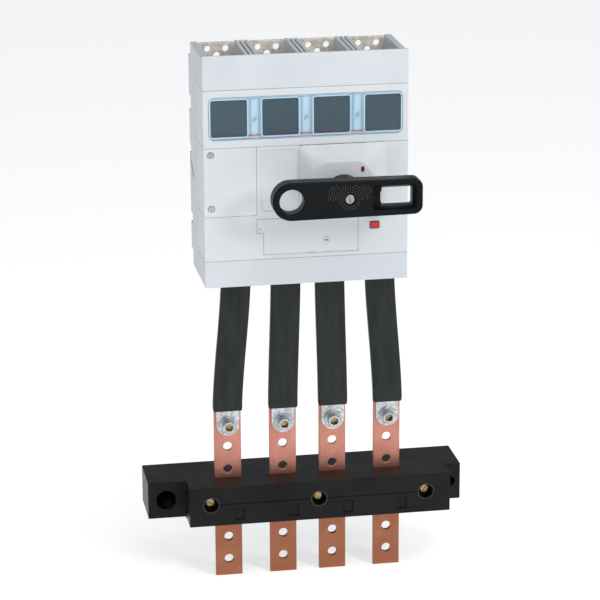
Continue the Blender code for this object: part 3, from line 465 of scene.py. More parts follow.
def drawn_copper():
    """Drawn flat bar: fine lines along its length, rosier above and browner below."""
    material, tree = start_material("drawn_copper", 1.0)
    lines = noise_of(tree, 30, 5, (60, 60, 0.8), 0.65)
    blotches = noise_of(tree, 38, 5)
    rosy = ramp(tree, blotches, (0.6, 0.255, 0.195), (0.7, 0.325, 0.255))
    brown = ramp(tree, blotches, (0.31, 0.118, 0.06), (0.38, 0.155, 0.085))
    split = add_node(tree, "SeparateXYZ", {"Vector": where(tree)}).outputs["Z"]
    height = spread(tree, split, 0.0, 1.0, -0.515, -0.46)
    base = mixed(tree, height, brown, rosy)
    streaked = mixed(tree, spread(tree, lines, 0.0, 0.35), base, (0.4, 0.16, 0.1))
    stains = noise_of(tree, 9, 6, (1, 1, 0.6), 0.7)
    colour = mixed(tree, spread(tree, stains, 0.0, 0.4, 0.55, 0.75), streaked, (0.45, 0.2, 0.13))
    gloss = spread(tree, lines, 0.4, 0.55)
    normal = relief(tree, [(lines, 0.12, 0.0003), (noise_of(tree, 900, 3), 0.06, 0.0002)])
    return finish_material(material, colour, gloss, normal)


def tinned(name, dark, light, spangle=260, tint=(0.55, 0.42, 0.3), stain=0.5, metallic=1.0):
    """Tin or zinc coat: small mottled patches, with warm stains here and there."""
    material, tree = start_material(name, metallic)
    cells = cells_of(tree, spangle)
    patches = add_node(tree, "SeparateColor", {"Color": cells.outputs["Color"]})
    clouds = noise_of(tree, 130, 5, rough=0.7)
    speckle = mixed(tree, 0.5, patches.outputs["Red"], clouds)
    base = ramp(tree, speckle, dark, light, 0.25, 0.7)
    stains = spread(tree, noise_of(tree, 34, 6, rough=0.72), 0.0, stain, 0.52, 0.72)
    colour = mixed(tree, stains, base, tint)
    gloss = spread(tree, clouds, 0.26, 0.5)
    normal = relief(tree, [(clouds, 0.12, 0.0004), (patches.outputs["Red"], 0.05, 0.0002)])
    return finish_material(material, colour, gloss, normal)


def plated(name, dark, light, roughness, tooled=900):
    """Plated steel fastener: turned lines and soft colour drift."""
    material, tree = start_material(name, 1.0)
    drift = noise_of(tree, 180, 4)
    tooling = noise_of(tree, tooled, 2, (1, 3, 1))
    colour = ramp(tree, drift, dark, light)
    gloss = spread(tree, tooling, roughness - 0.08, roughness + 0.12)
    normal = relief(tree, [(tooling, 0.08, 0.0002), (drift, 0.05, 0.0003)])
    return finish_material(material, colour, gloss, normal)


def rolled_steel():
    """Cold-rolled sheet: fine rolling lines and a thin oil film."""
    material, tree = start_material("rolled_steel", 1.0)
    lines = noise_of(tree, 40, 4, (2, 2, 30))
    film = noise_of(tree, 45, 5)
    colour = ramp(tree, film, (0.27, 0.265, 0.26), (0.42, 0.41, 0.4))
    gloss = spread(tree, lines, 0.35, 0.5)
    return finish_material(material, colour, gloss, relief(tree, [(lines, 0.1, 0.0002)]))


def shrunk_sleeve():
    """Satin black sleeving: long soft streaks, scuffs and pale dust specks."""
    material, tree = start_material("shrunk_sleeve", Specular_IOR_Level=0.33)
    streaks = noise_of(tree, 22, 5, (6, 6, 0.7), 0.6)
    base = ramp(tree, streaks, (0.003, 0.006, 0.005), (0.014, 0.02, 0.018), 0.3, 0.75)
    dust = cells_of(tree, 330).outputs["Distance"]
    patches = noise_of(tree, 26, 3)
    near = spread(tree, dust, 1.0, 0.0, 0.03, 0.12)
    rare = spread(tree, patches, 0.0, 1.0, 0.52, 0.62)
    specks = add_node(tree, "Math", {0: near, 1: rare}, operation="MULTIPLY").outputs[0]
    colour = mixed(tree, specks, base, (0.16, 0.19, 0.17))
    gloss = spread(tree, noise_of(tree, 70, 6, (2, 2, 0.6), 0.7), 0.36, 0.56)
    creases = noise_of(tree, 45, 3, (1, 1, 0.45))
    normal = relief(tree, [(creases, 0.2, 0.0012), (noise_of(tree, 1500, 2), 0.1, 0.0002)])
    return finish_material(material, colour, gloss, normal)


def tinted_lens():
    """Blue-tinted polycarbonate with faint rubbing marks."""
    material, tree = start_material("tinted_lens", Alpha=0.1, IOR=1.5, Specular_IOR_Level=0.2)
    drift = noise_of(tree, 12, 3)
    colour = ramp(tree, drift, (0.3, 0.44, 0.54), (0.35, 0.5, 0.6))
    rubbing = noise_of(tree, 90, 6, (5, 1, 1), 0.75)
    gloss = spread(tree, rubbing, 0.08, 0.2)
    return finish_material(material, colour, gloss, relief(tree, [(drift, 0.03, 0.001)]))


def painted_shade_pane():
    """Near-black, almost opaque pane in front of the contacts: painted shade standing for the dark inside of
    the case, slightly uneven.
    """
    material, tree = start_material("painted_shade_pane", Alpha=0.86, IOR=1.45, Specular_IOR_Level=0.1)
    shade_noise = noise_of(tree, 40, 4)
    colour = ramp(tree, shade_noise, (0.004, 0.011, 0.015), (0.014, 0.024, 0.029))
    gloss = spread(tree, noise_of(tree, 120, 3), 0.25, 0.4)
    return finish_material(material, colour, gloss, relief(tree, [(shade_noise, 0.04, 0.0005)]))


def make_looks():
    """Each finish: its material and the record's slot that it belongs to."""
    return {
        "case": (moulded("case_grey", (0.555, 0.59, 0.62), (0.59, 0.625, 0.655), 0.44), "case"),
        "cover": (moulded("cover_grey", (0.585, 0.618, 0.636), (0.618, 0.652, 0.67), 0.4, 0.08), "cover"),
        "lens": (tinted_lens(), "lens"),
        "handle": (
            moulded("handle_black", (0.0015, 0.002, 0.0024), (0.0035, 0.0042, 0.0048), 0.36, 0.2, 0.14),
            "handle",
        ),
        # The pips are paler than the lever: painted highlight.
        "grip": (moulded("handle_pip_highlight", (0.1, 0.105, 0.107), (0.15, 0.157, 0.16), 0.3, 0.1), "handle"),
        "rim": (moulded("support_rim", (0.012, 0.0125, 0.012), (0.022, 0.023, 0.022), 0.3, 0.2), "support"),
        "mask": (moulded("mask_blue", (0.56, 0.735, 0.85), (0.61, 0.785, 0.9), 0.4, 0.05), "lens"),
        # The dark panes behind the window openings are painted shade of the case's inside.
        "interior_shade": (painted_shade_pane(), "lens"),
        "support": (
            moulded("support_black", (0.004, 0.0045, 0.004), (0.0085, 0.0092, 0.0083), 0.36, 0.25, 0.15),
            "support",
        ),
        "sleeve": (shrunk_sleeve(), "sleeve"),
        "red": (moulded("button_red", (0.5, 0.012, 0.025), (0.6, 0.02, 0.035), 0.34, 0.1), "red"),
        "flag": (moulded("flag_red", (0.3, 0.01, 0.02), (0.4, 0.02, 0.03), 0.4, 0.1), "red"),
        "copper": (drawn_copper(), "copper"),
        "tin": (
            tinned("tinned_copper", (0.7, 0.63, 0.55), (0.95, 0.88, 0.79), 260, (0.62, 0.4, 0.22), 0.5, 0.4),
            "tin",
        ),
        "lug": (tinned("lug_tin", (0.36, 0.38, 0.39), (0.66, 0.69, 0.7), 300, (0.5, 0.47, 0.4), 0.35), "tin"),
        "contact": (
            tinned("silvered", (0.5, 0.47, 0.42), (0.66, 0.62, 0.57), 120, (0.4, 0.32, 0.22), 0.3),
            "contact",
        ),
        "steel": (plated("zinc_steel", (0.4, 0.43, 0.47), (0.58, 0.61, 0.66), 0.32), "screw_steel"),
        "dull_steel": (plated("dull_steel", (0.26, 0.27, 0.29), (0.42, 0.43, 0.45), 0.38), "screw_steel"),
        "zinc": (plated("yellow_zinc", (0.12, 0.08, 0.03), (0.62, 0.47, 0.22), 0.3), "zinc"),
        "sheet": (rolled_steel(), "sheet_steel"),
        "insulation": (
            moulded("phenolic_brown", (0.11, 0.045, 0.025), (0.18, 0.08, 0.045), 0.5, 0.25),
            "insulation",
        ),
        "fibre": (moulded("fibre_cheek", (0.42, 0.38, 0.3), (0.52, 0.48, 0.4), 0.65, 0.5), "insulation"),
        "white_print": (moulded("print_pale", (0.42, 0.62, 0.76), (0.47, 0.67, 0.81), 0.35, 0.05), "lens"),
        "blue_print": (moulded("print_blue", (0.07, 0.2, 0.32), (0.1, 0.25, 0.38), 0.4, 0.05), "lens"),
        "red_print": (moulded("print_red", (0.55, 0.03, 0.07), (0.66, 0.05, 0.1), 0.4, 0.05), "red"),
        "dim_red": (moulded("print_dim_red", (0.13, 0.02, 0.035), (0.17, 0.03, 0.05), 0.4, 0.05), "red"),
        # Dark finish of the button's guard; on the door it paints the shade in the seal hole and in the lock
        # screw's slot.
        "dark_print_and_shade": (
            moulded("print_dark_and_painted_shade", (0.015, 0.02, 0.025), (0.03, 0.035, 0.04), 0.5, 0.05),
            "support",
        ),
    }


LOOKS = make_looks()


# -------------------- case and front covers


def refined(node, look, edge, segments=2, body="housing", **settings):
    """The CAD node's own shape with its sharp edges rounded."""
    obj = soften(copy_of(node), edge, segments, **settings)
    piece(obj, node + "_shell", look, [node], body)


def make_case():
    refined("base_case", "case", 0.35)
    refined("upper_terminal_cover", "case", 0.7, 3)
    refined("window_cover", "cover", 0.7, 3)
    refined("left_side_cover", "cover", 0.6, 3)
    refined("lower_terminal_cover", "case", 0.7, 3)
    make_front_cover()
    make_front_details()


def make_front_cover():
    """Main cover with the vent gaps along its top edge."""
    top = span("front_cover")[2][1]
    gaps = []
    for start, end in ((-9, 5), (11, 55), (61, 82)):
        gaps.append(box((start, end), (FRONT - 1, FRONT + 3), (top - 0.9, top + 1)))
    body = combined(soften(copy_of("front_cover"), 0.6, 3), cut=gaps)
    piece(body, "front_cover_shell", "cover", ["front_cover"])


def make_front_details():
    """Small embossed marks of the mould on the front."""
    panel = FRONT + 1.2
    sunk = FRONT + 0.3
    marks = [
        plate(rounded((-59.5, -52.5), (13, 25), 1), panel - 0.45, panel + 0.3, 0.3, 0, 2),
        plate(rounded((-61, -51), (-55, -41.5), 4.5), panel - 0.6, panel + 0.3, 0.4, 0, 2),
        plate(rounded((127.6, 130), (11, 24), 1), FRONT - 0.35, sunk, 0.25, 0, 2),
        plate(circle((135.5, 27), 1.2, 20), FRONT - 0.3, sunk, 0.2, 0, 2),
    ]
    piece(joined(marks), "front_mould_marks", "cover")


def base_point(angle, centre, x, z, corner=5.0):
    """Where a ray from the centre leaves a rectangle with round corners."""
    dx, dz = cos(angle), sin(angle)
    reach = []
    if abs(dx) > 1e-9:
        reach.append(((x[1] if dx > 0 else x[0]) - centre[0]) / dx)
    if abs(dz) > 1e-9:
        reach.append(((z[1] if dz > 0 else z[0]) - centre[1]) / dz)
    a, b = centre[0] + min(reach) * dx, centre[1] + min(reach) * dz
    middle_a = min(max(a, x[0] + corner), x[1] - corner)
    middle_b = min(max(b, z[0] + corner), z[1] - corner)
    away = Vector((a - middle_a, b - middle_b))
    if away.length > corner:
        away *= corner / away.length
    return middle_a + away.x, middle_b + away.y


def housing_rings(x, z, base_y, top_y, radius, rim, segments=120):
    """Rings from the base rectangle up to the plateau, with a round rim."""
    angles = [2 * pi * (i + 0.5) / segments for i in range(segments)]
    base = [base_point(t, HANDLE, x, z) for t in angles]
    top = []
    flat = PLATEAU_HALF_HEIGHT - (PLATEAU_RADIUS - radius)
    for t in angles:
        height = min(flat, max(-flat, radius * sin(t)))
        top.append((HANDLE_X + radius * cos(t), HANDLE_Z + height))
    foot = base_y - 0.8
    levels = [(0.0, base_y, 0.0), (0.0, foot, 0.0)]
    slope_steps, rim_steps = 6, 5
    for i in range(1, slope_steps + 1):
        share = i / slope_steps
        levels.append((share, foot + (top_y + rim - foot) * share, 0.0))
    for i in range(1, rim_steps + 1):
        t = pi / 2 * i / rim_steps
        levels.append((1.0, top_y + rim * (1 - sin(t)), rim * (1 - cos(t))))
    rings = []
    for share, y, pull in levels:
        ring = []
        for (a, b), (c, d) in zip(base, top):
            inwards = Vector((HANDLE_X - c, HANDLE_Z - d)).normalized() * pull
            ring.append(Vector((a + (c - a) * share + inwards.x, y, b + (d - b) * share + inwards.y)))
        rings.append(ring)
    return rings


def flag_window():
    """A cutter for the small oval window over the position flag."""
    return slab(around(FLAG[0], 2.4), around(FLAG[1], 4.2), 2.3, PLATEAU_Y - 1, FRONT)


def make_mechanism_cover():
    """A hollow housing with the shaft's bore and the flag's window."""
    x, y, z = span("mechanism_cover")
    wall = 2.8
    outer = housing_rings(x, z, y[1], PLATEAU_Y, PLATEAU_RADIUS, 2.2)
    inner_radius = PLATEAU_RADIUS - wall
    inner = housing_rings(within(x, wall), within(z, wall), y[1] + 1, PLATEAU_Y + wall, inner_radius, 0.6)
    bore = flared(HANDLE, SHAFT_RADIUS + 0.5, PLATEAU_Y, PLATEAU_Y + wall, 0.3)
    body = combined(loft(outer), cut=[loft(inner), bore, flag_window()])
    piece(body, "mechanism_cover_shell", "cover", ["mechanism_cover"])
    dot_profile = [(0.6, PLATEAU_Y - 0.9), (1.6, PLATEAU_Y - 0.6), (2.2, PLATEAU_Y + 0.2)]
    dot = turned((HANDLE_X - 9, HANDLE_Z + 28), dot_profile, 24)
    oval = rounded(around(FLAG[0], 3.4), around(FLAG[1], 5.2), 3.3)
    rim = plate(oval, PLATEAU_Y - 0.35, PLATEAU_Y + 0.2, 0.3, 0, 2)
    details = [dot, combined(rim, cut=[flag_window()])]
    piece(joined(details), "plateau_details", "cover")


def make_cover_screws():
    for number, height in enumerate(SCREW_Z, 1):
        centre = (-HALF_WIDTH + 10, height)
        head = FRONT - 0.4
        profile = [(2.6, head), (3.7, head + 0.15), (4.15, head + 0.6), (4.25, head + 1.9)]
        profile += [(2, head + 1.9), (2, -60)]
        slots = [slot_at(centre, 5.8, (head - 1, head + 1.1), 1.0, angle) for angle in (20, 110)]
        body = combined(turned(centre, profile), cut=slots)
        piece(body, f"cover_screw_head_{number}", "steel", [f"cover_screw_{number}"])


# -------------------- window


def ring_plate(x, z, radius, width, front, rear):
    """A thin printed frame of the given line width."""
    opening = slab(within(x, width), within(z, width), max(0.4, radius - width), front - 1, rear + 1)
    return combined(slab(x, z, radius, front, rear), cut=[opening])


def make_window():
    """The blue lens with the lines printed on its face."""
    x, y, z = span("window_lens")
    lens = plate(rounded(x, z, 8, 12), *y, 0.5, 0.0, 3)
    piece(lens, "window_pane", "lens", ["window_lens"])
    make_window_mask(x, z, y[1])
    line = (y[0] - 0.1, y[0] + 0.05)
    frame_half = PANE_HALF + 1.3
    pale = []
    for pole_x in POLE_X:
        pale.append(ring_plate(around(pole_x, frame_half), (47.7, 101.3), 4.5, 1.5, line[0] - 0.02, line[1]))
    piece(joined(pale), "window_frames", "white_print")
    blue = [ring_plate(within(x, 1.4), within(z, 1.4), 7, 0.7, *line)]
    between = []
    across = []
    for left, right in zip(POLE_X, POLE_X[1:]):
        centre = (left + right) / 2
        for offset in (-5.2, -6.6, 5.2, 6.6):
            blue.append(box(around(centre + offset, 0.22), line, PANE_Z))
        blue += contact_sign(centre, 73.5, line)
        between.append(box((left + frame_half, right - frame_half), line, (50.2, 51.6)))
        across.append(box(around(left, 24.5), line, (50.4, 51.4)))
    piece(joined(blue), "window_lines", "blue_print")
    piece(joined(between), "window_red_line", "red_print")
    piece(joined(across), "window_dim_line", "dim_red")


def make_window_mask(x, z, behind):
    """Printed layer behind the lens: pale blue strips round four dark panes, which are painted shade of the
    case's inside.
    """
    layer = (behind + 0.05, behind + 0.25)
    openings = []
    panes = []
    for pole_x in POLE_X:
        openings.append(slab(around(pole_x, PANE_HALF), PANE_Z, 3, layer[0] - 1, layer[1] + 1))
        panes.append(slab(around(pole_x, PANE_HALF - 0.1), within(PANE_Z, 0.1), 2.9, *layer))
    strips = combined(slab(within(x, 0.2), within(z, 0.2), 7.8, *layer), cut=openings)
    piece(strips, "window_mask", "mask")
    # Dark panes in the window openings: painted shade standing for the inside of the case.
    piece(joined(panes), "window_shade_panes", "interior_shade")


def contact_sign(x, z, line):
    """A plain sign for a contact: a leaning bar over a small ring."""
    ring = combined(
        prism(circle((x, z - 1), 2.4, 24), *line),
        cut=[prism(circle((x, z - 1), 1.9, 24), line[0] - 1, line[1] + 1)],
    )
    corners = [(x - 3.1, z - 4.6), (x - 2.6, z - 4.9), (x + 3.3, z + 4.6), (x + 2.8, z + 4.9)]
    return [ring, prism(corners, *line)]


# -------------------- door and button


def make_door():
    """Door with a dark dot of painted shade in the seal hole of its tab, and a rim round its lock."""
    refined("accessory_door", "cover", 0.3, body="door", shortest=0.8)
    left = span("accessory_door")[0][0]
    # A dark dot filling the tab's seal hole: painted shade.
    seal = turned((left + 6.6, -80.5), [(0.85, FRONT + 0.1), (0.85, FRONT + 2.0)], 16)
    piece(seal, "door_seal_hole_shade", "dark_print_and_shade", body="door")
    ring = combined(
        plate(circle(DOOR_LOCK, 6.0), FRONT - 0.25, FRONT + 0.2, 0.15, 0, 2),
        cut=[rod(DOOR_LOCK, 5.2, FRONT - 1, FRONT + 1)],
    )
    piece(ring, "door_lock_ring", "case", body="door")
    make_door_lock()


def make_door_lock():
    """Quarter-turn screw with a curved slot in its head and a cam behind the door."""
    x, y, _ = span("door_lock_screw")
    centre_x, centre_z = DOOR_LOCK
    head, depth = y[0], 0.7
    profile = [(3.2, head), (3.9, head + 0.25), (4.2, head + 0.8), (4.2, FRONT - 0.3)]
    profile += [(2.7, FRONT - 0.3), (2.7, y[1])]
    cam_outline = rounded((centre_x - 2.7, x[1]), around(centre_z, 2.6), 1.5)
    cam = plate(cam_outline, FRONT + 4.0, FRONT + 5.6, 0.2, 0.2, 2)
    curve = arc(centre_x, centre_z - 1.6, 3.1, 25, 155, 12)
    curve += reversed(arc(centre_x, centre_z - 1.6, 2.0, 25, 155, 12))
    slot = prism(curve, head - 1, head + depth)
    key = box((centre_x + 0.9, centre_x + 2.9), (head - 1, head + depth), (centre_z - 1.5, centre_z - 0.7))
    body = combined(turned(DOOR_LOCK, profile), add=[cam], cut=[slot, key])
    screw = piece(body, "door_lock_head", "cover", ["door_lock_screw"], "door_lock")
    in_slot = (head + 0.05, head + depth + 0.05)
    # The slot's faces are painted dark: painted shade inside the slot.
    second_finish(
        screw,
        "dark_print_and_shade",
        lambda c: in_slot[0] < c.y < in_slot[1] and distance_from(DOOR_LOCK, c) < 3,
    )


def make_button():
    """The red key in its dark guard, and its return spring."""
    x, y, z = span("trip_button")
    centre = (middle(x), middle(z))
    key_x, key_z = around(centre[0], 5.85), around(centre[1], 4.4)
    key = plate(rounded(key_x, key_z, 1), *y, 0.6, 0.2, 3)
    collar = box(x, (FRONT + 3.8, FRONT + 6), z)
    hollow = [(3.6, y[0] - 0.5), (3.0, y[0] + 0.05), (1.5, y[0] + 0.35), (0.2, y[0] + 0.4)]
    button = combined(key, add=[collar], cut=[turned(centre, hollow, 32)])
    piece(button, "trip_button_key", "red", ["trip_button"], "button")
    guard = combined(
        plate(rounded(within(x, 1.1), within(z, 1.1), 1.4), FRONT - 0.5, FRONT + 0.2, 0.3, 0, 2),
        cut=[box(within(key_x, -0.3), (FRONT - 2, FRONT + 1), within(key_z, -0.3))],
    )
    piece(guard, "trip_button_guard", "dark_print_and_shade")
    wire, free_length, travel = 0.35, 12.0, 3.0
    start, end = y[1] + wire + 0.05, y[1] + free_length
    spring = coil(centre, 2.6, wire, start, end, 5)
    piece(spring, "trip_button_spring", "steel")
    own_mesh(spring)


def coil(centre, radius, wire, low, high, turns, sides=8, per_turn=20):
    """A round-wire compression spring along Y."""
    rings = []
    count = turns * per_turn
    for i in range(count + 1):
        t = 2 * pi * i / per_turn
        y = low + (high - low) * i / count
        ring = []
        for k in range(sides):
            u = 2 * pi * k / sides
            reach = radius + wire * cos(u)
            x, z = centre[0] + reach * cos(t), centre[1] + reach * sin(t)
            ring.append(Vector((x, y + wire * sin(u), z)))
        rings.append(ring)
    return loft(rings)


# -------------------- handle


def lever_outline():
    """Round at the left end, square with round corners at the right end."""
    x, _, z = span("handle_lever")
    left_half, right_half, corner = (z[1] - z[0]) / 2, 24.5, 12.0
    left = x[0] + left_half
    top, bottom = HANDLE_Z + right_half - corner, HANDLE_Z - right_half + corner
    points = arc(left, HANDLE_Z, left_half, 90, 270, 40)
    points += arc(x[1] - corner, bottom, corner, 270, 360, 14)
    points += arc(x[1] - corner, top, corner, 0, 90, 14)
    return points


def make_lever():
    """The lever with its eye, its pocket and window, and the hub behind it."""
    x, y, z = span("handle_lever")
    front, rear = y[0], y[0] + 22
    outline = lever_outline()
    body = plate(outline, front, rear, 2.2, 1.2, 6)
    hub = [(23.5, rear - 1), (23.5, -173), (23.2, -172), (22.6, -171.2), (21, -168), (21, y[1])]
    rib = [(-193, HANDLE_Z + 23), (-176, HANDLE_Z + 23), (-176, HANDLE_Z + 23.9), (-190, HANDLE_Z + 24.6)]
    pointer = prism(rib, *around(HANDLE_X, 1.4), "X")
    eye = (x[0] + (z[1] - z[0]) / 2, HANDLE_Z)
    eye_profile = [(19.5, front - 1), (18.3, front), (17.2, front + 0.6), (16.5, front + 1.8)]
    eye_profile += [(16.5, rear - 4), (17.4, rear - 3.4), (17.4, rear + 1)]
    z_open = around(HANDLE_Z, 13)
    rim = rounded((HANDLE_X + 32, HANDLE_X + 90), around(HANDLE_Z, 16.5), 4)
    lip = rounded((HANDLE_X + 31, HANDLE_X + 91), around(HANDLE_Z, 17.5), 5)
    floor = rounded((HANDLE_X + 34, HANDLE_X + 86), z_open, 2.5)
    pocket = loft(
        [
            [Vector((a, front - 1, b)) for a, b in inset(lip, -0.6)],
            [Vector((a, front + 0.3, b)) for a, b in inset(lip, 0.5)],
            [Vector((a, front + 0.9, b)) for a, b in rim],
            [Vector((a, front + 7, b)) for a, b in floor],
        ]
    )
    slide_y = (front + 7.4, front + 10.3)
    groove_outer = prism(inset(outline, 3.6), front - 1, front + 0.35)
    groove_inner = prism(inset(outline, 4.1), front - 2, front + 1)
    cut = [
        turned(eye, eye_profile, 72),
        pocket,
        slab((HANDLE_X + 43, HANDLE_X + 86), z_open, 2.5, front + 6, rear + 1),
        box((HANDLE_X + 35, HANDLE_X + 44), (front + 6, slide_y[1]), within(z_open, 1)),
        box((HANDLE_X + 19.7, HANDLE_X + 44), slide_y, around(HANDLE_Z, 6.3)),
        turned(HANDLE, [(8.6, front - 1), (7.0, front + 0.6), (7.0, front + 5)]),
        rod(HANDLE, 3.4, front + 4, rear),
        rod(HANDLE, 7.4, front + 8.5, PLATEAU_Y),
        combined(groove_outer, cut=[groove_inner]),
    ]
    body = combined(body, add=[turned(HANDLE, hub, 96), pointer], cut=cut)
    piece(body, "lever_grip", "handle", ["handle_lever"], "handle")
    make_grip_dots(front)


def make_grip_dots(face):
    """Rows of small pips in arcs round the screw, clear of the window and the edges; their pale grey finish
    is a painted highlight.
    """
    bm = bmesh.new()
    pitch, first_radius, full_rows = 3.3, 10.2, 2
    top, right, bottom = 19.5, 29, -1
    for row in range(7):
        radius = first_radius + pitch * row
        count = max(8, round(pi * radius / pitch))
        for i in range(2 * count):
            angle = pi * (i + 0.5 * (row % 2)) / count
            x, z = radius * cos(angle), radius * sin(angle)
            if z > top or x > right or (z < bottom and row >= full_rows):
                continue
            place = Matrix.Translation((HANDLE_X + x, face, HANDLE_Z + z)) @ Matrix.Diagonal((1, 0.6, 1, 1))
            bmesh.ops.create_icosphere(bm, subdivisions=1, radius=0.6, matrix=place)
    # Pale grey pips: painted highlight.
    piece(new_object(bm), "lever_grip_dots", "grip", body="handle", weighted=False, smooth=80)


def make_padlock_slide():
    """A ribbed head with a hollow right edge, on a narrow tail."""
    x, y, z = span("padlock_slide")
    head_left = x[1] - 8
    hollow = reversed(arc(x[1] + 20, HANDLE_Z, 21.6, 150, 210, 24))
    outline = [(head_left, z[1]), (head_left, z[0]), (x[1], z[0])]
    outline += [point for point in hollow if z[0] < point[1] < z[1]]
    outline.append((x[1], z[1]))
    head = prism(outline, *y)
    tail = box((x[0], x[1] - 7.5), y, around(HANDLE_Z, 6))
    ribs = []
    for i in range(3):
        at = head_left + 1.2 + 1.5 * i
        ribs.append(box((at, at + 0.6), (y[0] - 1, y[0] + 0.4), within(z, 2)))
    slide = soften(combined(head, add=[tail], cut=ribs), 0.3)
    piece(slide, "padlock_slide_key", "handle", ["padlock_slide"], "padlock_slide")


def make_handle_screw():
    head, tip = span("handle_screw")[1]
    profile = [(4.6, head), (5.7, head + 0.25), (6.3, head + 0.8), (6.6, head + 1.8)]
    profile += [(6.6, head + 4.3), (3, head + 4.3), (3, tip)]
    slot = box(around(HANDLE_X, 0.75), (head - 1, head + 1.6), around(HANDLE_Z, 8))
    body = combined(turned(HANDLE, profile, 64), cut=[slot])
    piece(body, "handle_screw_head", "dull_steel", ["handle_screw"], "handle")


def make_shaft():
    """Tapped shaft and its circlip."""
    front, rear = span("handle_shaft")[1]
    profile = chamfered(SHAFT_RADIUS, front, rear, 0.4)
    bore = rod(HANDLE, 3.3, front - 1, front + 16)
    piece(combined(turned(HANDLE, profile), cut=[bore]), "shaft", "steel", ["handle_shaft"], "handle")
    clear = (-95, -91)
    ring = combined(
        turned(HANDLE, chamfered(9.6, -93.6, -92.5, 0.2)),
        cut=[rod(HANDLE, 7.05, *clear), box(around(HANDLE_X, 2), clear, (HANDLE_Z - 12, HANDLE_Z))],
    )
    piece(ring, "shaft_circlip", "dull_steel", body="handle")


def make_handle_parts():
    make_lever()
    make_padlock_slide()
    make_handle_screw()
    make_shaft()
    piece(copy_of("drive_pinion"), "drive_pinion_gear", "dull_steel", ["drive_pinion"], "handle")
    refined("position_flag", "flag", 0.15, body="handle")


# -------------------- drive and rotor


def make_crossbar():
    """Insulating bar with a collar on each side of every blade."""
    low, high = span("crossbar")[0]
    collar = BAR_RADIUS + 2
    profile = [(BAR_RADIUS - 0.4, low), (BAR_RADIUS, low + 0.4)]
    for pole_x in POLE_X:
        for start, stop in ((pole_x - 8, pole_x - JAW[0]), (pole_x + JAW[0], pole_x + 8)):
            profile += [(BAR_RADIUS, start), *chamfered(collar, start, stop, 0.4), (BAR_RADIUS, stop)]
    profile += [(BAR_RADIUS, high - 0.4), (BAR_RADIUS - 0.4, high)]
    piece(turned(ROTOR, profile, 40, "X"), "crossbar_bar", "insulation", ["crossbar"], "rotor")


def make_drive():
    """Toothed pieces keep the CAD's own shape; the others get round edges."""
    piece(copy_of("drive_rack"), "drive_rack_plate", "dull_steel", ["drive_rack"], "rack")
    refined("mechanism_frame", "sheet", 0.3)
    piece(copy_of("drive_sector"), "drive_sector_gear", "dull_steel", ["drive_sector"], "rotor")
    make_crossbar()
    for pole in range(POLES):
        refined(f"knife_blade_{pole + 1}", "contact", 0.6, body="rotor")


# -------------------- contacts


def make_terminals():
    for pole in range(POLES):
        make_upper_terminal(pole)
        refined(f"lower_terminal_{pole + 1}", "tin", 0.4)
        make_chute(pole)
        make_contact_springs(pole)


def make_upper_terminal(pole):
    """Drilled pad, neck and the two leaves of the jaw."""
    node = f"upper_terminal_{pole + 1}"
    top = span(node)[2][1]
    centre = POLE_X[pole]
    pad = plate(rounded(around(centre, 24), (100, top), 1.2, 4), *TERMINAL_Y, 0.5, 0.5, 3)
    add = [plate(rounded(around(centre, 12), (66, 101), 1, 3), *TERMINAL_Y, 0.4, 0.4, 2)]
    for side in (-1, 1):
        leaf_x = sorted((centre + side * JAW[0], centre + side * JAW[1]))
        add.append(plate(rounded((-66, -28), (70, 99), 2.5, 4), *leaf_x, 0.5, 0.5, 2, "X"))
    cut = [flared((centre + dx, z), 4.5, *TERMINAL_Y, 0.35) for dx, z in TERMINAL_HOLES]
    piece(combined(pad, add=add, cut=cut), f"upper_contact_{pole + 1}", "tin", [node])


def make_chute(pole):
    """Pale fibre cheeks with steel splitter plates between them."""
    node = f"arc_chute_{pole + 1}"
    obj = piece(soften(copy_of(node), 0.15, 1), f"arc_chute_set_{pole + 1}", "fibre", [node])
    second_finish(obj, "sheet", lambda c: abs(c.x - POLE_X[pole]) < 16.9)


def make_contact_springs(pole):
    """Leaf springs that press the jaws on the blade."""
    centre = POLE_X[pole]
    upper, lower = ((-62, -40), (76, 92)), ((-70, -44), (-52, -28))
    thickness, steps = 0.6, 12
    leaves = []
    for side in (-1, 1):
        for y, z in (upper, lower):
            outline = []
            for i in range(steps + 1):
                share = i / steps
                bow = 1.2 * sin(pi * share)
                outline.append((centre + side * (6.5 + bow), y[0] + (y[1] - y[0]) * share))
            back = [(a + side * thickness, b) for a, b in reversed(outline)]
            leaves.append(prism(outline + back, *z, "Z"))
    piece(joined(leaves), f"jaw_springs_{pole + 1}", "steel")


# -------------------- flexible bars and the busbars


def clamped(value):
    return min(1.0, max(0.0, value))


def smooth_step(value):
    value = clamped(value)
    return value * value * (3 - 2 * value)


def flex_point(pole, z):
    """Centre of the flexible bar at a height: terminal above, busbar below."""
    fall = clamped((BEND_TOP - z) / (BEND_TOP - BEND_BOTTOM))
    share = (smooth_step(fall) + fall) / 2
    x = POLE_X[pole] + FLEX_OFFSETS[pole]
    top_y = SPLIT - GAP - LUG_THICKNESS / 2
    low_y = span(f"busbar_{pole + 1}")[1][0] - GAP - LUG_THICKNESS / 2
    return x + (BUS_X[pole] - x) * share, top_y + (low_y - top_y) * share


def core_half(z):
    """Half thickness: the foils are loose between the pressed lugs at the two ends."""
    loose = min(smooth_step((-160 - z) / 12), smooth_step((z + 356) / 12))
    return LUG_THICKNESS / 2 + 1.5 * loose


def foil_section(half_width, half, layers=6):
    """Section of a stack of foils: small grooves between them along both edges."""
    edge = []
    depth, bevel = 0.22, 0.12
    for layer in range(layers):
        low = -half + 2 * half * layer / layers
        high = -half + 2 * half * (layer + 1) / layers
        edge += [(half_width - depth, low), (half_width, low + bevel), (half_width, high - bevel)]
    edge.append((half_width - depth, high))
    return edge + [(-a, b) for a, b in reversed(edge)]


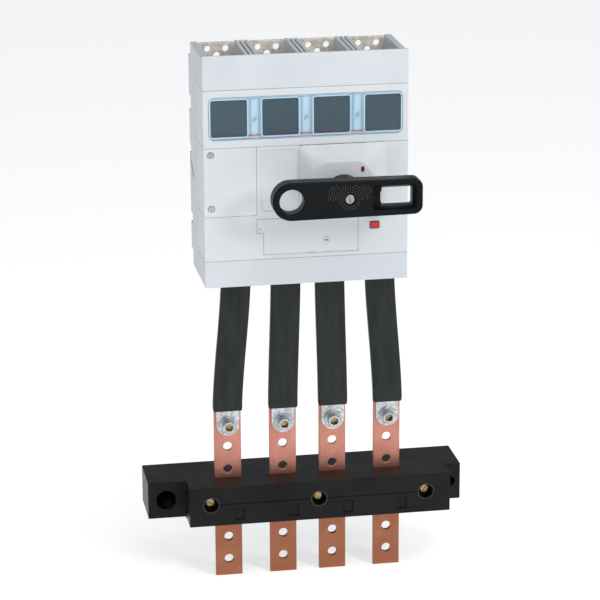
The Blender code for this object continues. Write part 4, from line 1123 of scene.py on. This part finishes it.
def make_flexible_bar(pole):
    """Stack of foils with a round lower end, drilled at both ends."""
    node = f"flexible_bar_{pole + 1}"
    heights = [span(node)[2][1], *range(-156, -372, -6), FIRST_HOLE_Z]
    stations = [(z, FLEX_HALF_WIDTH) for z in heights]
    end_steps = 14
    for i in range(1, end_steps):
        t = pi / 2 * i / end_steps
        stations.append((FIRST_HOLE_Z - FLEX_HALF_WIDTH * sin(t), FLEX_HALF_WIDTH * cos(t)))
    rings = []
    for z, half_width in stations:
        x, y = flex_point(pole, z)
        rings.append([Vector((x + a, y + b, z)) for a, b in foil_section(half_width, core_half(z))])
    x, y = flex_point(pole, FIRST_HOLE_Z)
    half = LUG_THICKNESS / 2
    upper_bolt = (POLE_X[pole] + FLEX_OFFSETS[pole] / 2, LUG_BOLT_Z)
    cut = [
        flared((x, FIRST_HOLE_Z), BOLT_HOLE_RADIUS, y - half, y + half, 0.3),
        rod(upper_bolt, BOLT_HOLE_RADIUS, SPLIT - 12, SPLIT + 2),
    ]
    piece(combined(loft(rings), cut=cut), f"flexible_core_{pole + 1}", "lug", [node])


def sleeve_ring(pole, z, half_width, half, corner, ripple):
    """One ring of the sleeve, with a slow ripple in its soft wall."""
    x, y = flex_point(pole, z)
    outline = rounded((-half_width, half_width), (-half, half), corner, 5)
    ring = []
    for a, b in outline:
        lift = 0.0
        if ripple:
            lift = noise.noise(Vector((a * 0.06, b * 0.1 + pole * 7.3, z * 0.035)))
            lift += 0.4 * noise.noise(Vector((a * 0.2, b * 0.2, z * 0.13 + pole * 3.1)))
        ring.append(Vector((x + a, y + b * (1 + 0.08 * lift), z)))
    return ring


def make_sleeve(pole):
    node = f"insulating_sleeve_{pole + 1}"
    bottom, top = span(node)[2]
    count = 44
    heights = [top + (bottom - top) * i / count for i in range(count + 1)]
    outer = []
    for i, z in enumerate(heights):
        rounding = 0.5 if i in (0, count) else 0.0
        outer.append(sleeve_ring(pole, z, 20.7 - rounding, 6.4 - rounding, 3.4, True))
    inner = [sleeve_ring(pole, z, 18.7, 4.35, 1.2, False) for z in reversed(heights)]
    tube = loft(outer + inner, caps=False)
    piece(tube, f"sleeve_{pole + 1}", "sleeve", [node], smooth=50, weighted=False)


def make_busbar(pole):
    node = f"busbar_{pole + 1}"
    x, y, z = span(node)
    bar = plate(rounded(x, z, 0.8, 3), *y, 0.7, 0.7, 3)
    cut = []
    for i in range(BUS_HOLES):
        centre = (BUS_X[pole], FIRST_HOLE_Z - HOLE_PITCH * i)
        cut.append(flared(centre, BOLT_HOLE_RADIUS, *y, 0.35))
    piece(combined(bar, cut=cut), f"copper_bar_{pole + 1}", "copper", [node])


def hexagon(centre, across_flats, turn=0.0):
    radius = across_flats / 2 / cos(pi / 6)
    return arc(centre[0], centre[1], radius, turn, turn + 360, 6)[:-1]


def washer(centre, radius, bore, y, edge):
    disc = turned(centre, chamfered(radius, *y, edge), 64)
    return combined(disc, cut=[rod(centre, bore, y[0] - 1, y[1] + 1)])


def make_joint_bolt(pole):
    """Socket-head bolt; its washers and nut are pieces of their own."""
    node = f"joint_bolt_{pole + 1}"
    head, tip = span(node)[1]
    centre = (BUS_X[pole], FIRST_HOLE_Z)
    bar_y = span(f"busbar_{pole + 1}")[1]
    lug_front = bar_y[0] - GAP - LUG_THICKNESS - GAP
    under = lug_front - 2.6
    turn = 12.0 * pole
    profile = [(7.2, head), (8.2, head + 0.25), (8.8, head + 0.9), (9, head + 1.8), (9, under - 0.3)]
    profile += [(8.8, under), (5.9, under), (5.9, tip - 1), (5.0, tip)]
    socket = prism(hexagon(centre, 10, turn), head - 1, head + 7)
    mouth = turned(centre, [(6.6, head - 0.6), (5.0, head + 0.8), (0.5, head + 0.9)])
    body = combined(turned(centre, profile, 64), cut=[socket, mouth])
    bolt = piece(body, f"socket_bolt_{pole + 1}", "steel", [node])
    in_socket = (head + 0.9, head + 7.5)
    second_finish(
        bolt,
        "zinc",
        lambda c: in_socket[0] < c.y < in_socket[1] and distance_from(centre, c) < 6.0,
    )
    make_washers(pole, centre, lug_front, bar_y[1])
    make_nut(pole, centre, (bar_y[1] + 5.1, bar_y[1] + 14.5), turn + 15)


def make_washers(pole, centre, lug_front, bar_rear):
    """Flat washers on both sides, and a split spring washer under the nut."""
    bore = BOLT_HOLE_RADIUS - 0.2
    flat = [
        washer(centre, 12, bore, (lug_front - 2.4, lug_front - 0.02), 0.5),
        washer(centre, 12, bore, (bar_rear + 0.05, bar_rear + 2.5), 0.5),
    ]
    piece(joined(flat), f"flat_washers_{pole + 1}", "steel")
    spring = washer(centre, 10.2, bore, (bar_rear + 2.6, bar_rear + 5), 0.2)
    split = box((centre[0] + 4, centre[0] + 12), (bar_rear, bar_rear + 8), around(centre[1], 0.7))
    piece(combined(spring, cut=[split]), f"spring_washer_{pole + 1}", "dull_steel")


def make_nut(pole, centre, y, turn):
    """Hexagon nut with its corners turned off at both faces."""
    dome = turned(centre, [(9.2, y[0] - 0.01), (10.8, y[0] + 1), (10.8, y[1] - 1), (9.2, y[1] + 0.01)])
    clear = (y[0] - 1, y[1] + 1)
    corners = combined(rod(centre, 14, *clear), cut=[dome])
    nut = combined(prism(hexagon(centre, 18.5, turn), *y), cut=[corners, rod(centre, 6.1, *clear)])
    piece(nut, f"nut_{pole + 1}", "steel")


# -------------------- support


def make_clamp_screw(number, front):
    """Slotted screw, and the raised rim round its recess."""
    node = f"clamp_screw_{number}"
    x, (head, tip), z = span(node)
    centre = (middle(x), middle(z))
    profile = [(4.6, head), (5.8, head + 0.4), (6.6, head + 1.4), (6.8, head + 2.2)]
    profile += [(6.8, head + 4), (4, head + 4), (4, tip)]
    slot = slot_at(centre, 16, (head - 1, head + 1.8), 1.6, 50 * number - 25)
    piece(combined(turned(centre, profile), cut=[slot]), f"clamp_bolt_{number}", "zinc", [node])
    rim = combined(
        turned(centre, [(11.6, front - 0.3), (11.8, front - 0.1), (11.8, front + 0.2)]),
        cut=[rod(centre, 10.5, front - 1, front + 1)],
    )
    piece(rim, f"clamp_recess_rim_{number}", "rim")


def make_support():
    refined("support_rear", "support", 0.8, 3)
    refined("support_front", "support", 0.6, 3)
    for number in (1, 2, 3):
        make_clamp_screw(number, span("support_front")[1][0])


# -------------------- the scene


def make_stage():
    """A wide pale floor just under the lowest point."""
    bm = bmesh.new()
    bmesh.ops.create_grid(bm, x_segments=1, y_segments=1, size=30)
    floor = as_object(bm, "floor")
    floor.location = (0, 0, cad_box[0][2] - 0.001)
    glow = {"Emission_Color": (1, 1, 1, 1), "Emission_Strength": 0.6}
    pale = {"Base_Color": (0.8, 0.8, 0.8, 1), "Roughness": 0.9, "Specular_IOR_Level": 0.1}
    floor.data.materials.append(start_material("pale_floor", **pale, **glow)[0])


def make_area_light(name, place, aim, size, power, colour=(1, 1, 1)):
    data = bpy.data.lights.new(name, "AREA")
    data.shape = "DISK"
    data.size = size
    data.energy = power
    data.color = colour
    light = linked(name, data)
    light.location = place
    light.rotation_euler = (Vector(aim) - Vector(place)).to_track_quat("-Z", "Y").to_euler()


def make_lights():
    world = bpy.data.worlds.new("studio")
    bpy.context.scene.world = world
    world.use_nodes = True
    background = world.node_tree.nodes["Background"]
    background.inputs["Color"].default_value = (0.93, 0.96, 1.0, 1)
    background.inputs["Strength"].default_value = 0.36
    centre = (0, -0.1, -0.1)
    make_area_light("key", (1.5, -2.2, 1.1), centre, 0.8, 25)
    make_area_light("fill", (-2.4, -2.0, 0.6), centre, 1.6, 12, (0.95, 0.98, 1))
    make_area_light("top", (0.4, -1.5, 2.1), centre, 2.2, 26)
    bpy.context.scene.view_settings.view_transform = "Standard"


def make_camera():
    """Left of the front and slightly above, with a small roll."""
    azimuth, elevation, roll = (radians(angle) for angle in (9.7, 16.92, -0.31))
    turn = Matrix.Rotation(-azimuth, 4, "Z") @ Matrix.Rotation(pi / 2 - elevation, 4, "X")
    data = bpy.data.cameras.new("camera")
    data.sensor_width = 36.0
    data.lens = 154.4
    data.clip_start = 0.05
    data.clip_end = 200
    camera = linked("camera", data)
    place = Matrix.Translation((-0.5778, -3.4631, 0.8420))
    camera.matrix_world = place @ turn @ Matrix.Rotation(roll, 4, "Z")
    bpy.context.scene.camera = camera


def main():
    make_camera()
    make_lights()
    make_stage()
    make_case()
    make_mechanism_cover()
    make_cover_screws()
    make_window()
    make_door()
    make_button()
    make_handle_parts()
    make_drive()
    make_terminals()
    for pole in range(POLES):
        make_flexible_bar(pole)
        make_sleeve(pole)
        make_busbar(pole)
        make_joint_bolt(pole)
    make_support()


main()
